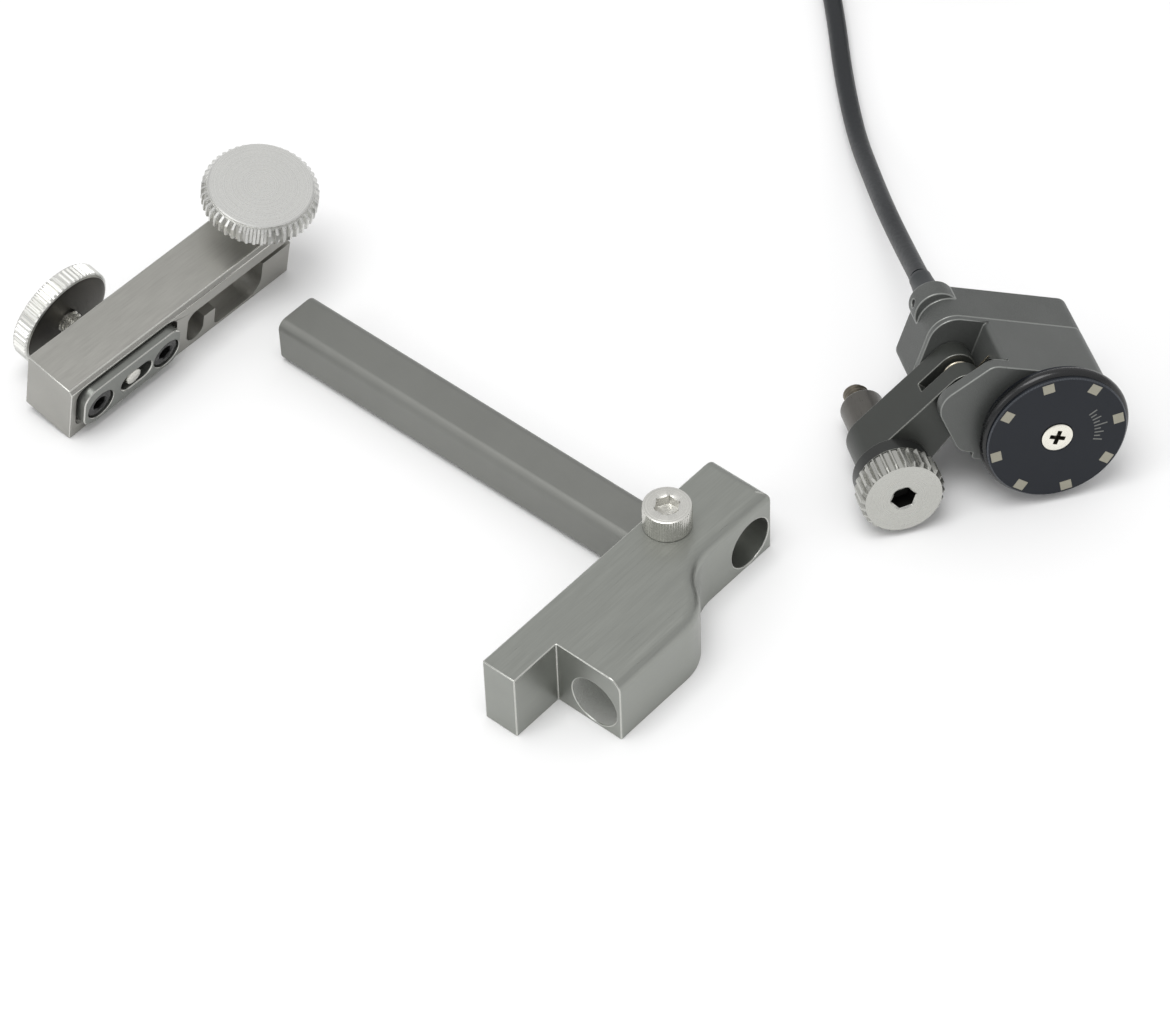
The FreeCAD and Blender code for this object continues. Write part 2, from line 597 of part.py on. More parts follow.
def build_housing():
    seam = "dims.seam_back"
    keep("rear_shell", rear_shell(), HEAD)
    keep("front_body", front_body(), HEAD)
    keep("housing_screws", housing_screws(), HEAD)
    for label, back in (("front_bearing", "dims.front_bearing_back"),
                        ("rear_bearing", "dims.rear_bearing_back")):
        keep(label, ring("dims.bearing_radius", "dims.axle_radius + dims.running_gap", "dims.bearing_wide",
                         f"-{back} - dims.bearing_wide"), HEAD)
    keep("bearing_spacer", ring("dims.bearing_radius", "3.2",
                                "dims.rear_bearing_back - dims.front_bearing_back - dims.bearing_wide",
                                "-dims.rear_bearing_back"), HEAD)
    board_back = "-dims.shell_back + dims.wall_thick + dims.board_gap"
    keep("circuit_board", box("9.8", "5.6", "0.8", "-6.0", "-2.4", board_back), HEAD)
    keep("sensor_chip", box("3.0", "3.0", "0.8", "-1.5", "-1.5", f"{board_back} + 0.8"), HEAD)
    keep("pivot_pin", rod("dims.pin_radius", "dims.seam_back - dims.front_face - 0.9", "dims.pivot_x",
                          "dims.pivot_y", f"-{seam}"), HEAD)
    spring = ring("1.9", "1.15", "dims.slot_wide - 0.2", "-dims.slot_near - dims.slot_wide + 0.1")
    spring.Placement = spot("dims.pivot_x", "dims.pivot_y", 0)
    keep("torsion_spring", spring, HEAD)
    grub = rod("0.45 - dims.seat_gap", "0.8", "dims.boot_x - dims.boss_radius + 0.2", "dims.boot_y",
               "-dims.shell_back + 1.2", ALONG_X)
    keep("grub_screw", grub, HEAD)


# ---------------------------------------------------------------- sensor head: swinging arm and its knob
def arm_axis():
    turn = math.radians(value("dims.arm_turn"))
    reach = value("dims.arm_reach")
    return value("dims.pivot_x") + reach * math.cos(turn), value("dims.pivot_y") + reach * math.sin(turn)


def taper_outline():
    """Two end circles of the arm, the small one at the pivot, with the two lines that touch both."""
    root, tip, reach = value("dims.arm_root"), value("dims.arm_tip"), value("dims.arm_reach")
    lean = math.asin((tip - root) / reach)
    up, down = Vector(-math.sin(lean), math.cos(lean), 0), Vector(-math.sin(lean), -math.cos(lean), 0)
    far = Vector(reach, 0, 0)
    return [
        Part.Arc(up * root, Vector(-root, 0, 0), down * root),
        Part.LineSegment(down * root, far + down * tip),
        Part.Arc(far + down * tip, far + Vector(tip, 0, 0), far + up * tip),
        Part.LineSegment(far + up * tip, up * root),
    ]


def swing_arm():
    back = "-dims.arm_front - dims.arm_wide"
    root, reach = "dims.arm_root", "dims.arm_reach"
    arm = Drawn("swing_arm_body").pad(taper_outline(), "dims.arm_wide", back).body
    fork = box(f"dims.slot_reach + {root} + 1", f"2 * {root} + 4", "dims.slot_wide", f"-{root} - 1",
               f"-{root} - 2",
               "-dims.slot_near - dims.slot_wide")
    pin_hole = rod("dims.pin_radius + dims.running_gap", "dims.arm_wide", z=back)
    stud_hole = rod("dims.metric_three_radius + dims.running_gap", "dims.arm_wide", x=reach, z=back)
    result = cut(arm, fork, pin_hole, stud_hole)
    result.Placement = spot("dims.pivot_x", "dims.pivot_y", 0, Rotation(Vector(0, 0, 1), CELLS["arm_turn"]))
    return result


def build_arm():
    x, y = arm_axis()
    arm_back = "dims.arm_front + dims.arm_wide"
    keep("swing_arm", swing_arm(), HEAD)
    shoulder = join(rod("dims.post_radius", "dims.post_length - 0.5", x, y,
                        f"-({arm_back}) - dims.post_length + 0.5"),
                    taper("dims.post_radius - 0.5", "dims.post_radius", "0.5", x, y,
                          f"-({arm_back}) - dims.post_length"))
    keep("arm_post", cut(shoulder, rod("dims.metric_three_radius + dims.running_gap",
                                       "dims.post_length + 1", x, y,
                                       f"-({arm_back}) - dims.post_length - 0.5")), HEAD)
    knob_back = "dims.arm_knob_thick - dims.arm_knob_front"
    keep("arm_knob", knob("dims.arm_knob_radius", "dims.arm_knob_thick", "0.35", "1.45", x, y,
                          f"-({knob_back})"), HEAD)
    keep("arm_stud", rod("1.45", "dims.stud_end - 1.6", x, y, "-dims.stud_end"), HEAD)
    washer = cut(rod("dims.arm_washer_radius", f"dims.arm_front - ({knob_back}) - 0.06", x, y,
                     "-dims.arm_front + 0.03"),
                 rod("1.45 + dims.running_gap", "3.0", x, y, "-dims.arm_front - 0.5"))
    keep("arm_washer", washer, HEAD)


# ---------------------------------------------------------------- lead, coil and plug
LEAD_HEIGHT = CELLS["lead_radius"] + 0.02
BOOT_TIP = HEAD.multVec(Vector(CELLS["boot_x"], CELLS["boot_y"], -CELLS["shell_back"] - CELLS["boot_length"]))
COIL_MIDDLE = Vector(52.9, 98.5, 0)
PLUG_MOUTH = Vector(77.0, 99.6, 3.6)
# where the lead runs on its way from the boot to the coil
LEAD_POINTS = [
    BOOT_TIP,
    Vector(39.1, 22.6, 10.6),
    Vector(37.8, 31.4, 7.9),
    Vector(36.9, 40.6, 4.6),
    Vector(35.9, 50.2, 1.7),
    Vector(35.1, 61.4, LEAD_HEIGHT),
    Vector(34.9, 72.6, LEAD_HEIGHT),
    Vector(34.2, 83.8, LEAD_HEIGHT),
    Vector(34.5, 94.0, LEAD_HEIGHT),
]
# where the lead's end runs on its way from the coil to the plug
TAIL_POINTS = [
    Vector(57.7, 116.4, 3.3),
    Vector(64.6, 115.3, 2.2),
    Vector(71.2, 111.9, LEAD_HEIGHT),
    Vector(75.6, 105.8, 1.9),
    PLUG_MOUTH,
]


def tube(points, radius):
    """A round lead along straight runs joined by the largest tangent arcs that the runs allow."""
    edges, length, start = [], 0.0, points[0]
    for before, corner, after in zip(points, points[1:], points[2:]):
        back, ahead = (before - corner), (after - corner)
        shorter = min(back.Length, ahead.Length)
        turn = math.pi - back.getAngle(ahead)
        reach = 0.45 * shorter
        bend = reach / math.tan(turn / 2)
        print(f"  bend radius {bend:.1f} mm, turn {math.degrees(turn):.1f} deg")
        back.normalize()
        ahead.normalize()
        inwards = (back + ahead).normalize()
        middle = corner + inwards * (bend / math.cos(turn / 2) - bend)
        first, last = corner + back * reach, corner + ahead * reach
        edges += [Part.LineSegment(start, first).toShape(), Part.Arc(first, middle, last).toShape()]
        length += (first - start).Length + bend * turn
        start = last
    edges.append(Part.LineSegment(start, points[-1]).toShape())
    length += (points[-1] - start).Length
    path = Part.Wire(edges)
    mouth = Part.Wire(Part.makeCircle(radius, points[0], points[1] - points[0]))
    solid = path.makePipeShell([mouth], True, False)
    expected = math.pi * radius ** 2 * length
    if abs(solid.Volume - expected) > 0.01 * expected:
        raise ValueError(f"lead volume {solid.Volume:.1f} is not {expected:.1f}")
    print(f"  lead of {length:.1f} mm")
    return solid


def shaped(name, solid):
    feature = doc.addObject("Part::Feature", name)
    feature.Shape = solid
    return feature


def build_lead():
    boot = taper("dims.lead_radius + 0.15", "dims.boot_radius", "dims.boot_length", "dims.boot_x",
                 "dims.boot_y",
                 "-dims.shell_back - dims.boot_length")
    keep("cable_boot", boot, HEAD)
    keep("cable_lead", shaped("lead_shape", tube(LEAD_POINTS, CELLS["lead_radius"])), KIT)
    keep("cable_tail", shaped("tail_shape", tube(TAIL_POINTS, CELLS["lead_radius"])), KIT)
    outer, inner = "dims.coil_radius + dims.coil_wide / 2", "dims.coil_radius - dims.coil_wide / 2"
    coil = cut(rod(outer, "dims.coil_tall"), rod(inner, "dims.coil_tall"))
    coil.Placement = Placement(COIL_MIDDLE + Vector(0, 0, 0.02), Rotation())
    keep("cable_coil", coil, KIT)
    flat = Vector(PLUG_MOUTH.x - TAIL_POINTS[-2].x, PLUG_MOUTH.y - TAIL_POINTS[-2].y, 0)
    plug_turn = Rotation(Vector(0, 0, 1), flat)
    plug = Placement(PLUG_MOUTH, plug_turn)
    keep("plug_boot", taper("1.5", "2.6", "7.0"), plug)
    keep("plug_shell", rod("3.2", "9.0", z="7.0"), plug)
    keep("plug_collar", cut(rod("dims.plug_radius", "7.0", z="16.0"), rod("2.8", "6.0", z="17.0")), plug)
    pins = [rod("0.35", "4.0", 1.5 * math.cos(k * math.tau / 5), 1.5 * math.sin(k * math.tau / 5), "17.0")
            for k in range(5)]
    keep("plug_pins", group(*pins), plug)


# ---------------------------------------------------------------- build, check and write
def check_document():
    for item in doc.Objects:
        if "Invalid" in item.State or "Error" in item.State:
            raise ValueError(f"{item.Name} ({item.Label}) failed: {item.State}")
    for part in parts:
        if part.Shape.isNull() or not part.Shape.isValid() or part.Shape.Volume <= 0:
            raise ValueError(f"{part.Label} has no sound shape")


def write_parts():
    os.makedirs("parts", exist_ok=True)
    for part in parts:
        part.Shape.exportStep(f"parts/{part.Label}.step")


build_bracket()
build_clamp()
build_wheel()
build_housing()
build_arm()
build_lead()
doc.recompute()
check_document()
write_parts()
for part in parts:
    bounds = part.Shape.BoundBox
    print(f"{part.Label:16s} {len(part.Shape.Solids)} solid  {part.Shape.Volume:9.2f} mm3  "
          f"z {bounds.ZMin:7.3f} to {bounds.ZMax:7.3f}")
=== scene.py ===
# %% [markdown]
# A watchmaker's timing pick-up, laid out as three loose assemblies: a head with a friction wheel
# on a lead, a cross bracket on a square bar, and a clamp arm with two thumbscrews.
# The frame loaded here holds every sub-part at its real size. This file gives each of them its
# finished surface: broken edges, knurls, threads, screw drives and metal, rubber and cable.

# %% Start from the frame
import math
import bmesh
import bpy
from mathutils import Matrix, Vector
from mathutils.bvhtree import BVHTree


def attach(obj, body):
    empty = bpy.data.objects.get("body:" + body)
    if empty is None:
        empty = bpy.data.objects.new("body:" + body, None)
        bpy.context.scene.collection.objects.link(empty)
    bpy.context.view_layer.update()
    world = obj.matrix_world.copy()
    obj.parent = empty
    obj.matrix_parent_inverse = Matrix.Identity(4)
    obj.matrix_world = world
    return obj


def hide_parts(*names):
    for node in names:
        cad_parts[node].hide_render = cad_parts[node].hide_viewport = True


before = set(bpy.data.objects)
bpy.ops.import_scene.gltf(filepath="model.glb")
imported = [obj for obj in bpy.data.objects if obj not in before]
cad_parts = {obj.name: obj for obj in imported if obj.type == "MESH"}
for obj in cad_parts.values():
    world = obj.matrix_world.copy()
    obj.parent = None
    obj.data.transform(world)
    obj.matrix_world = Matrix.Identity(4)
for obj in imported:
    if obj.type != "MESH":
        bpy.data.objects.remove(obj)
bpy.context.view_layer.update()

MM = 0.001
TO_METRES = Matrix.Scale(MM, 4)

# %% [markdown]
# Each assembly lies turned on the table, so work inside it is far easier in its own axes.
# A matrix for each one turns local millimetres into the table's. The head's third axis is its
# wheel's axle, the clamp's third axis points out of its jaw, and the bracket's third axis is up.

# %% Three working frames
def turned_by(degrees, axis):
    return Matrix.Rotation(math.radians(degrees), 4, axis)


HEAD = Matrix.Translation((53.785, -6.578, 9.1)) @ turned_by(12.14, "Z") @ turned_by(90 - 7.76, "X")
HEAD = HEAD @ turned_by(-20.3, "Z")
CLAMP = Matrix.Translation((-55.825, 8.052, 0.02)) @ turned_by(46.39, "Z") @ turned_by(101.8, "X")
BRACKET = Matrix.Translation((-9.555, -35.168, 0.0)) @ turned_by(47.33, "Z")
ALONG_Y = turned_by(-90, "X")
ALONG_X = turned_by(90, "Y")


def local_box(node, place):
    """The lowest and highest corner of a frame node in an assembly's own millimetres."""
    back = (TO_METRES @ place).inverted()
    spots = [back @ vertex.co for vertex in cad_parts[node].data.vertices]
    low = Vector([min(spot[i] for spot in spots) for i in range(3)])
    high = Vector([max(spot[i] for spot in spots) for i in range(3)])
    return low, high


for node, place in (("wheel_disc", HEAD), ("clamp_body", CLAMP), ("cross_block", BRACKET)):
    low, high = local_box(node, place)
    print(node, [round(c, 3) for c in low], [round(c, 3) for c in high])

# %% [markdown]
# The camera stands well back with a long lens, looking down at about 48 degrees, and leans a
# little. A long lens keeps the small parts nearly free of perspective, which suits a parts photo.
# The matrix is built from the right, up and back directions, so the lean is easy to see.

# %% The camera
AIM = Vector((1.885, -6.818, 0.0))
STAND_BACK = 523.553
LOOK_DOWN = math.radians(47.74)
LEAN = math.radians(-2.398)
right = Vector((1, 0, 0))
up = Vector((0, math.sin(LOOK_DOWN), math.cos(LOOK_DOWN)))
back = Vector((0, -math.cos(LOOK_DOWN), math.sin(LOOK_DOWN)))
leaning_right = right * math.cos(LEAN) + up * math.sin(LEAN)
leaning_up = up * math.cos(LEAN) - right * math.sin(LEAN)
lens_data = bpy.data.cameras.new("camera")
lens_data.lens = 145.68
lens_data.sensor_width = 36.0
lens_data.sensor_fit = "HORIZONTAL"
lens_data.clip_start = 0.01
lens_data.clip_end = 20.0
camera = bpy.data.objects.new("camera", lens_data)
bpy.context.scene.collection.objects.link(camera)
turn = Matrix((leaning_right, leaning_up, back)).transposed().to_4x4()
camera.matrix_world = Matrix.Translation((AIM + back * STAND_BACK) * MM) @ turn
bpy.context.scene.camera = camera
print("camera at", [round(c, 4) for c in camera.matrix_world.translation])

# %% [markdown]
# Every finish starts from the same few ideas: a base colour that drifts a little, a grain that
# shows in the roughness and in a very low bump, and now and then fine scratches along one way.
# Node groups hold those patterns, and each material places them with its own numbers. The
# patterns are worked out in the assembly's own millimetres, so a grain runs along its part.

# %% Helpers for nodes
def shade(red, green, blue):
    """A colour given the way a paint chart gives it, from 0 to 255, as linear light."""
    def linear(level):
        level = level / 255
        return level / 12.92 if level <= 0.04045 else ((level + 0.055) / 1.055) ** 2.4
    return (linear(red), linear(green), linear(blue), 1.0)


def new_group(name, inputs, outputs):
    """A shader node group with named float and vector inputs and float outputs."""
    group = bpy.data.node_groups.new(name, "ShaderNodeTree")
    for label, kind, start in inputs:
        socket = group.interface.new_socket(name=label, in_out="INPUT", socket_type=kind)
        if start is not None:
            socket.default_value = start
    for label in outputs:
        group.interface.new_socket(name=label, in_out="OUTPUT", socket_type="NodeSocketFloat")
    return group, group.nodes.new("NodeGroupInput"), group.nodes.new("NodeGroupOutput")


def node_in(tree, kind, values=None, **settings):
    """A node with its settings and its input values put in."""
    node = tree.nodes.new(kind)
    for label, value in settings.items():
        setattr(node, label, value)
    for label, value in (values or {}).items():
        node.inputs[label].default_value = value
    return node


def join_up(tree, *pairs):
    for source, target in pairs:
        tree.links.new(source, target)


# %% [markdown]
# "Grain" is the workhorse. It stretches a noise along the part's first axis, as a belt or a
# milling cutter leaves it, and adds a broad slow cloud for handling marks. A stretch of 1 gives
# an even blast or cast texture. The bump height and the mask come out separately.

# %% The grain group
GRAIN, grain_in, grain_out = new_group(
    "Grain",
    [("Vector", "NodeSocketVector", None), ("Fine", "NodeSocketFloat", 4.0),
     ("Broad", "NodeSocketFloat", 0.25)],
    ["Grain", "Cloud", "Speck"],
)
fine_noise = node_in(GRAIN, "ShaderNodeTexNoise", {"Detail": 6.0, "Roughness": 0.65})
broad_noise = node_in(GRAIN, "ShaderNodeTexNoise", {"Detail": 3.0, "Roughness": 0.55})
speck_cells = node_in(GRAIN, "ShaderNodeTexVoronoi", {"Randomness": 1.0}, feature="F1")
speck_scale = node_in(GRAIN, "ShaderNodeMath", operation="MULTIPLY")
speck_scale.inputs[1].default_value = 0.6
speck_range = node_in(
    GRAIN, "ShaderNodeMapRange",
    {"From Min": 0.0, "From Max": 0.16, "To Min": 1.0, "To Max": 0.0},
)
join_up(
    GRAIN,
    (grain_in.outputs["Vector"], fine_noise.inputs["Vector"]),
    (grain_in.outputs["Fine"], fine_noise.inputs["Scale"]),
    (grain_in.outputs["Vector"], broad_noise.inputs["Vector"]),
    (grain_in.outputs["Broad"], broad_noise.inputs["Scale"]),
    (grain_in.outputs["Vector"], speck_cells.inputs["Vector"]),
    (grain_in.outputs["Fine"], speck_scale.inputs[0]),
    (speck_scale.outputs[0], speck_cells.inputs["Scale"]),
    (speck_cells.outputs["Distance"], speck_range.inputs["Value"]),
    (fine_noise.outputs["Fac"], grain_out.inputs["Grain"]),
    (broad_noise.outputs["Fac"], grain_out.inputs["Cloud"]),
    (speck_range.outputs["Result"], grain_out.inputs["Speck"]),
)

# %% [markdown]
# "Rings" is what a lathe leaves on a face: fine circles about the axle. The distance from the
# local third axis drives a one-dimensional noise, so that the rings are uneven like real ones.

# %% The turning rings group
RINGS, rings_in, rings_out = new_group(
    "Rings",
    [("Vector", "NodeSocketVector", None), ("Per millimetre", "NodeSocketFloat", 9.0)],
    ["Rings"],
)
ring_parts = node_in(RINGS, "ShaderNodeSeparateXYZ")
ring_flat = node_in(RINGS, "ShaderNodeCombineXYZ")
ring_length = node_in(RINGS, "ShaderNodeVectorMath", operation="LENGTH")
ring_noise = node_in(RINGS, "ShaderNodeTexNoise", {"Detail": 4.0, "Roughness": 0.7}, noise_dimensions="1D")
join_up(
    RINGS,
    (rings_in.outputs["Vector"], ring_parts.inputs["Vector"]),
    (ring_parts.outputs["X"], ring_flat.inputs["X"]),
    (ring_parts.outputs["Y"], ring_flat.inputs["Y"]),
    (ring_flat.outputs["Vector"], ring_length.inputs[0]),
    (ring_length.outputs["Value"], ring_noise.inputs["W"]),
    (rings_in.outputs["Per millimetre"], ring_noise.inputs["Scale"]),
    (ring_noise.outputs["Fac"], rings_out.inputs["Rings"]),
)


# %% Making a finish
def finish(name, place, colour, rough, metal=0.0, grain=4.0, stretch=(1, 1, 1), drift=0.12,
           bump=0.02, rough_drift=0.1, speck=0.0, rings=0.0, coat=0.0, level=0.5):
    """A Principled material with drifting colour, grained roughness and a low bump."""
    material = bpy.data.materials.new(name)
    material.use_nodes = True
    tree = material.node_tree
    shader = tree.nodes["Principled BSDF"]
    shader.inputs["Metallic"].default_value = metal
    shader.inputs["Coat Weight"].default_value = coat
    shader.inputs["Coat Roughness"].default_value = 0.12
    shader.inputs["Specular IOR Level"].default_value = level
    where = tree.nodes.new("ShaderNodeTexCoord")
    home = node_in(tree, "ShaderNodeMapping", vector_type="TEXTURE")
    home.inputs["Location"].default_value = place.translation * MM
    home.inputs["Rotation"].default_value = place.to_euler("XYZ")
    home.inputs["Scale"].default_value = (MM, MM, MM)
    pull = node_in(tree, "ShaderNodeMapping", vector_type="POINT")
    pull.inputs["Scale"].default_value = stretch
    pattern = node_in(tree, "ShaderNodeGroup", node_tree=GRAIN)
    pattern.inputs["Fine"].default_value = grain
    pattern.inputs["Broad"].default_value = 0.22
    blend_marks = node_in(tree, "ShaderNodeMath", operation="MULTIPLY_ADD")
    blend_marks.inputs[1].default_value = speck
    tone = node_in(tree, "ShaderNodeMath", operation="MULTIPLY_ADD")
    tone.inputs[1].default_value = 0.5
    ramp = tree.nodes.new("ShaderNodeValToRGB")
    ramp.color_ramp.elements[0].position = 0.25
    ramp.color_ramp.elements[1].position = 0.95
    dark = [level_ * (1 - drift) for level_ in colour[:3]] + [1.0]
    light = [min(1.0, level_ * (1 + drift)) for level_ in colour[:3]] + [1.0]
    ramp.color_ramp.elements[0].color = dark
    ramp.color_ramp.elements[1].color = light
    spread = node_in(
        tree, "ShaderNodeMapRange",
        {"From Min": 0.25, "From Max": 0.8, "To Min": rough - rough_drift, "To Max": rough + rough_drift},
    )
    relief = node_in(tree, "ShaderNodeBump", {"Strength": 0.6, "Distance": bump * MM})
    join_up(
        tree,
        (where.outputs["Object"], home.inputs["Vector"]),
        (home.outputs["Vector"], pull.inputs["Vector"]),
        (pull.outputs["Vector"], pattern.inputs["Vector"]),
        (pattern.outputs["Speck"], blend_marks.inputs[0]),
        (pattern.outputs["Grain"], blend_marks.inputs[2]),
        (pattern.outputs["Cloud"], tone.inputs[0]),
        (tone.outputs[0], ramp.inputs["Fac"]),
        (ramp.outputs["Color"], shader.inputs["Base Color"]),
        (spread.outputs["Result"], shader.inputs["Roughness"]),
        (relief.outputs["Normal"], shader.inputs["Normal"]),
    )
    marks = blend_marks.outputs[0]
    if rings:
        circles = node_in(tree, "ShaderNodeGroup", node_tree=RINGS)
        circles.inputs["Per millimetre"].default_value = rings
        mixed = node_in(tree, "ShaderNodeMath", operation="MULTIPLY_ADD")
        mixed.inputs[1].default_value = 0.8
        halved = node_in(tree, "ShaderNodeMath", operation="MULTIPLY")
        halved.inputs[1].default_value = 0.35
        join_up(
            tree,
            (home.outputs["Vector"], circles.inputs["Vector"]),
            (circles.outputs["Rings"], mixed.inputs[0]),
            (marks, halved.inputs[0]),
            (halved.outputs[0], mixed.inputs[2]),
        )
        marks = mixed.outputs[0]
    join_up(
        tree,
        (marks, tone.inputs[2]),
        (marks, spread.inputs["Value"]),
        (marks, relief.inputs["Height"]),
    )
    return material


# %% [markdown]
# The lead is a soft cable as thick as a matchstick. It leaves the boot at the back of the head,
# comes down to the table, runs straight back and ends in a neat two-layer coil with its plug
# beside it. One smooth curve carries the whole length; the coil's turns are worked out by a loop.

# %% The lead's route
BOOT_EXIT = HEAD @ Vector((-11.4, 4.7, -21.5))
LEAD_HEIGHT = 1.17
PLUG_MOUTH = Vector((77.0, 99.6, 3.6))
LEAD_POINTS = [
    BOOT_EXIT,
    Vector((39.1, 22.6, 10.6)),
    Vector((37.8, 31.4, 7.9)),
    Vector((36.9, 40.6, 4.6)),
    Vector((35.9, 50.2, 1.7)),
    Vector((35.1, 61.4, LEAD_HEIGHT)),
    Vector((34.9, 72.6, LEAD_HEIGHT)),
    Vector((34.2, 83.8, LEAD_HEIGHT)),
]
TAIL_POINTS = [
    Vector((64.6, 115.3, 2.2)),
    Vector((71.2, 111.9, LEAD_HEIGHT)),
    Vector((75.6, 105.8, 1.9)),
    PLUG_MOUTH,
]
COIL_MIDDLE = Vector((52.9, 98.5, 0.0))
COIL_START, COIL_END = math.radians(172), math.radians(75)
OUTER_TURN, INNER_TURN = 18.5, 6.5
LOWER_TURNS, RISE_TURNS, UPPER_TURNS = 5.13, 0.5, 4.64
UPPER_HEIGHT = 3.49
POINTS_PER_TURN = 16
CUT_IN = 0.981


def coil_points():
    """Turns that wind in along the table, climb over themselves and wind out again on top."""
    total = LOWER_TURNS + RISE_TURNS + UPPER_TURNS
    count = round(total * POINTS_PER_TURN)
    points = []
    for step in range(count + 1):
        turns = total * step / count
        angle = COIL_START - 2 * math.pi * turns
        if turns < LOWER_TURNS:
            radius = OUTER_TURN + (INNER_TURN - OUTER_TURN) * turns / LOWER_TURNS
            height = LEAD_HEIGHT
        elif turns < LOWER_TURNS + RISE_TURNS:
            climb = (turns - LOWER_TURNS) / RISE_TURNS
            radius = INNER_TURN - 0.4 * math.sin(math.pi * climb)
            height = LEAD_HEIGHT + (UPPER_HEIGHT - LEAD_HEIGHT) * (1 - math.cos(math.pi * climb)) / 2
        else:
            out = (turns - LOWER_TURNS - RISE_TURNS) / UPPER_TURNS
            radius = INNER_TURN + (OUTER_TURN - INNER_TURN) * out
            height = UPPER_HEIGHT
        flat = Vector((math.cos(angle), math.sin(angle), 0)) * radius / CUT_IN
        points.append(COIL_MIDDLE + flat + Vector((0, 0, height)))
    return points


def route_curve(name, points, thickness):
    """One smooth spline through the air and along the table, with a round section."""
    data = bpy.data.curves.new(name, "CURVE")
    data.dimensions = "3D"
    data.resolution_u = 5
    data.bevel_depth = thickness * MM
    data.bevel_resolution = 5
    data.use_fill_caps = True
    spline = data.splines.new("NURBS")
    spline.points.add(len(points) - 1)
    for spot, point in zip(spline.points, points):
        spot.co = (*(point * MM), 1.0)
    spline.order_u = 3
    spline.use_endpoint_u = True
    piece = bpy.data.objects.new(name, data)
    bpy.context.scene.collection.objects.link(piece)
    return piece


ROUTE = LEAD_POINTS + coil_points() + TAIL_POINTS
LEAD_RADIUS = 1.15
lead = route_curve("lead", ROUTE, LEAD_RADIUS)
bare = route_curve("lead_line", ROUTE, 0.0)
line = bpy.data.meshes.new_from_object(bare)
bpy.data.objects.remove(bare)
bpy.data.meshes.remove(line)
sheath = finish("cable sheath", HEAD, shade(22, 25, 28), 0.44, grain=2.0, bump=0.01, drift=0.1, level=0.45)
lead.data.materials.append(sheath)
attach(lead, "sensor_head")
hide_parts("cable_lead", "cable_coil", "cable_tail")

# %% [markdown]
# Most milled pieces keep the frame's own shape and only need what a file or a tumbler does to
# them: a tiny flat along every edge, which catches the light as a bright line. A copy of the
# frame's mesh is merged, its sharp edges are bevelled, and the new strips get a brighter finish.
# On the bare aluminium pieces that brighter finish is partly burnish and partly a painted
# highlight; on the dark anodised castings and the arm it stands for worn edges.

# %% Dressing a milled piece
def settle(bm, name, body, materials, stands_for=(), smooth=32):
    """Writes a bmesh, given in metres on the table, as a finished piece that rides on its body."""
    mesh = bpy.data.meshes.new(name)
    bm.to_mesh(mesh)
    bm.free()
    for material in materials:
        mesh.materials.append(material)
    for face in mesh.polygons:
        face.use_smooth = True
    mesh.set_sharp_from_angle(angle=math.radians(smooth))
    piece = bpy.data.objects.new(name, mesh)
    bpy.context.scene.collection.objects.link(piece)
    weights = piece.modifiers.new("even shading", "WEIGHTED_NORMAL")
    weights.keep_sharp = True
    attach(piece, body)
    if stands_for:
        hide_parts(*stands_for)
    return piece


def dressed(node, body, materials, width=0.12, steps=2, angle=30, wanted=None):
    """A copy of a frame node with its sharp edges broken; the strips take the second finish."""
    bm = bmesh.new()
    bm.from_mesh(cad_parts[node].data)
    bmesh.ops.remove_doubles(bm, verts=bm.verts, dist=0.002 * MM)
    bmesh.ops.dissolve_degenerate(bm, edges=bm.edges, dist=0.001 * MM)
    bmesh.ops.dissolve_limit(bm, angle_limit=math.radians(1), verts=bm.verts, edges=bm.edges)
    bmesh.ops.recalc_face_normals(bm, faces=bm.faces)
    limit = math.radians(angle)
    sharp = [e for e in bm.edges if len(e.link_faces) == 2 and e.calc_face_angle(0) > limit]
    if wanted:
        sharp = [e for e in sharp if wanted(e)]
    skin = BVHTree.FromBMesh(bm)
    if width:
        bmesh.ops.bevel(
            bm, geom=sharp, offset=width * MM, offset_type="OFFSET", segments=steps, profile=0.5,
            affect="EDGES", material=1 if len(materials) > 1 else -1, clamp_overlap=False,
            miter_outer="ARC", miter_inner="SHARP",
        )
    for vert in bm.verts:
        spot, _, _, away = skin.find_nearest(vert.co)
        if away > 1.2 * width * MM:
            vert.co = spot
    return settle(bm, node + "_dressed", body, materials, (node,))


# %% [markdown]
# The cross bracket is bare milled aluminium with a long belt grain, so its grain noise is
# stretched fifty times along the bracket's length. Its edges are tumbled, and their bevel strips
# are painted brighter than the faces: partly burnish, partly a painted highlight. The square bar
# was blasted and has an even, darker, slightly sparkling skin, and its edge strips carry a painted
# highlight too. The near bore's walls are painted near white, a painted reflection.

# %% Cross bracket and bar
bracket_metal = finish("milled bracket", BRACKET, shade(146, 148, 143), 0.36, metal=0.85, grain=5.0,
                       stretch=(0.04, 1, 1), drift=0.1, bump=0.012)
# The bracket's bevel strips are painted brighter than its faces: partly burnish, partly a painted highlight.
bracket_edge_painted_highlight = finish("bracket strip painted highlight", BRACKET, shade(188, 189, 184), 0.24, metal=0.9, grain=3.0, bump=0.004)
bar_metal = finish("blasted bar", BRACKET, shade(124, 125, 121), 0.46, metal=0.7, grain=11.0, drift=0.1,
                   bump=0.02, speck=0.3)
# The bar's bevel strips are painted lighter than its blasted skin: partly burnish, partly a painted highlight.
bar_edge_painted_highlight = finish("bar strip painted highlight", BRACKET, shade(150, 151, 147), 0.35, metal=0.8, grain=6.0, bump=0.008)
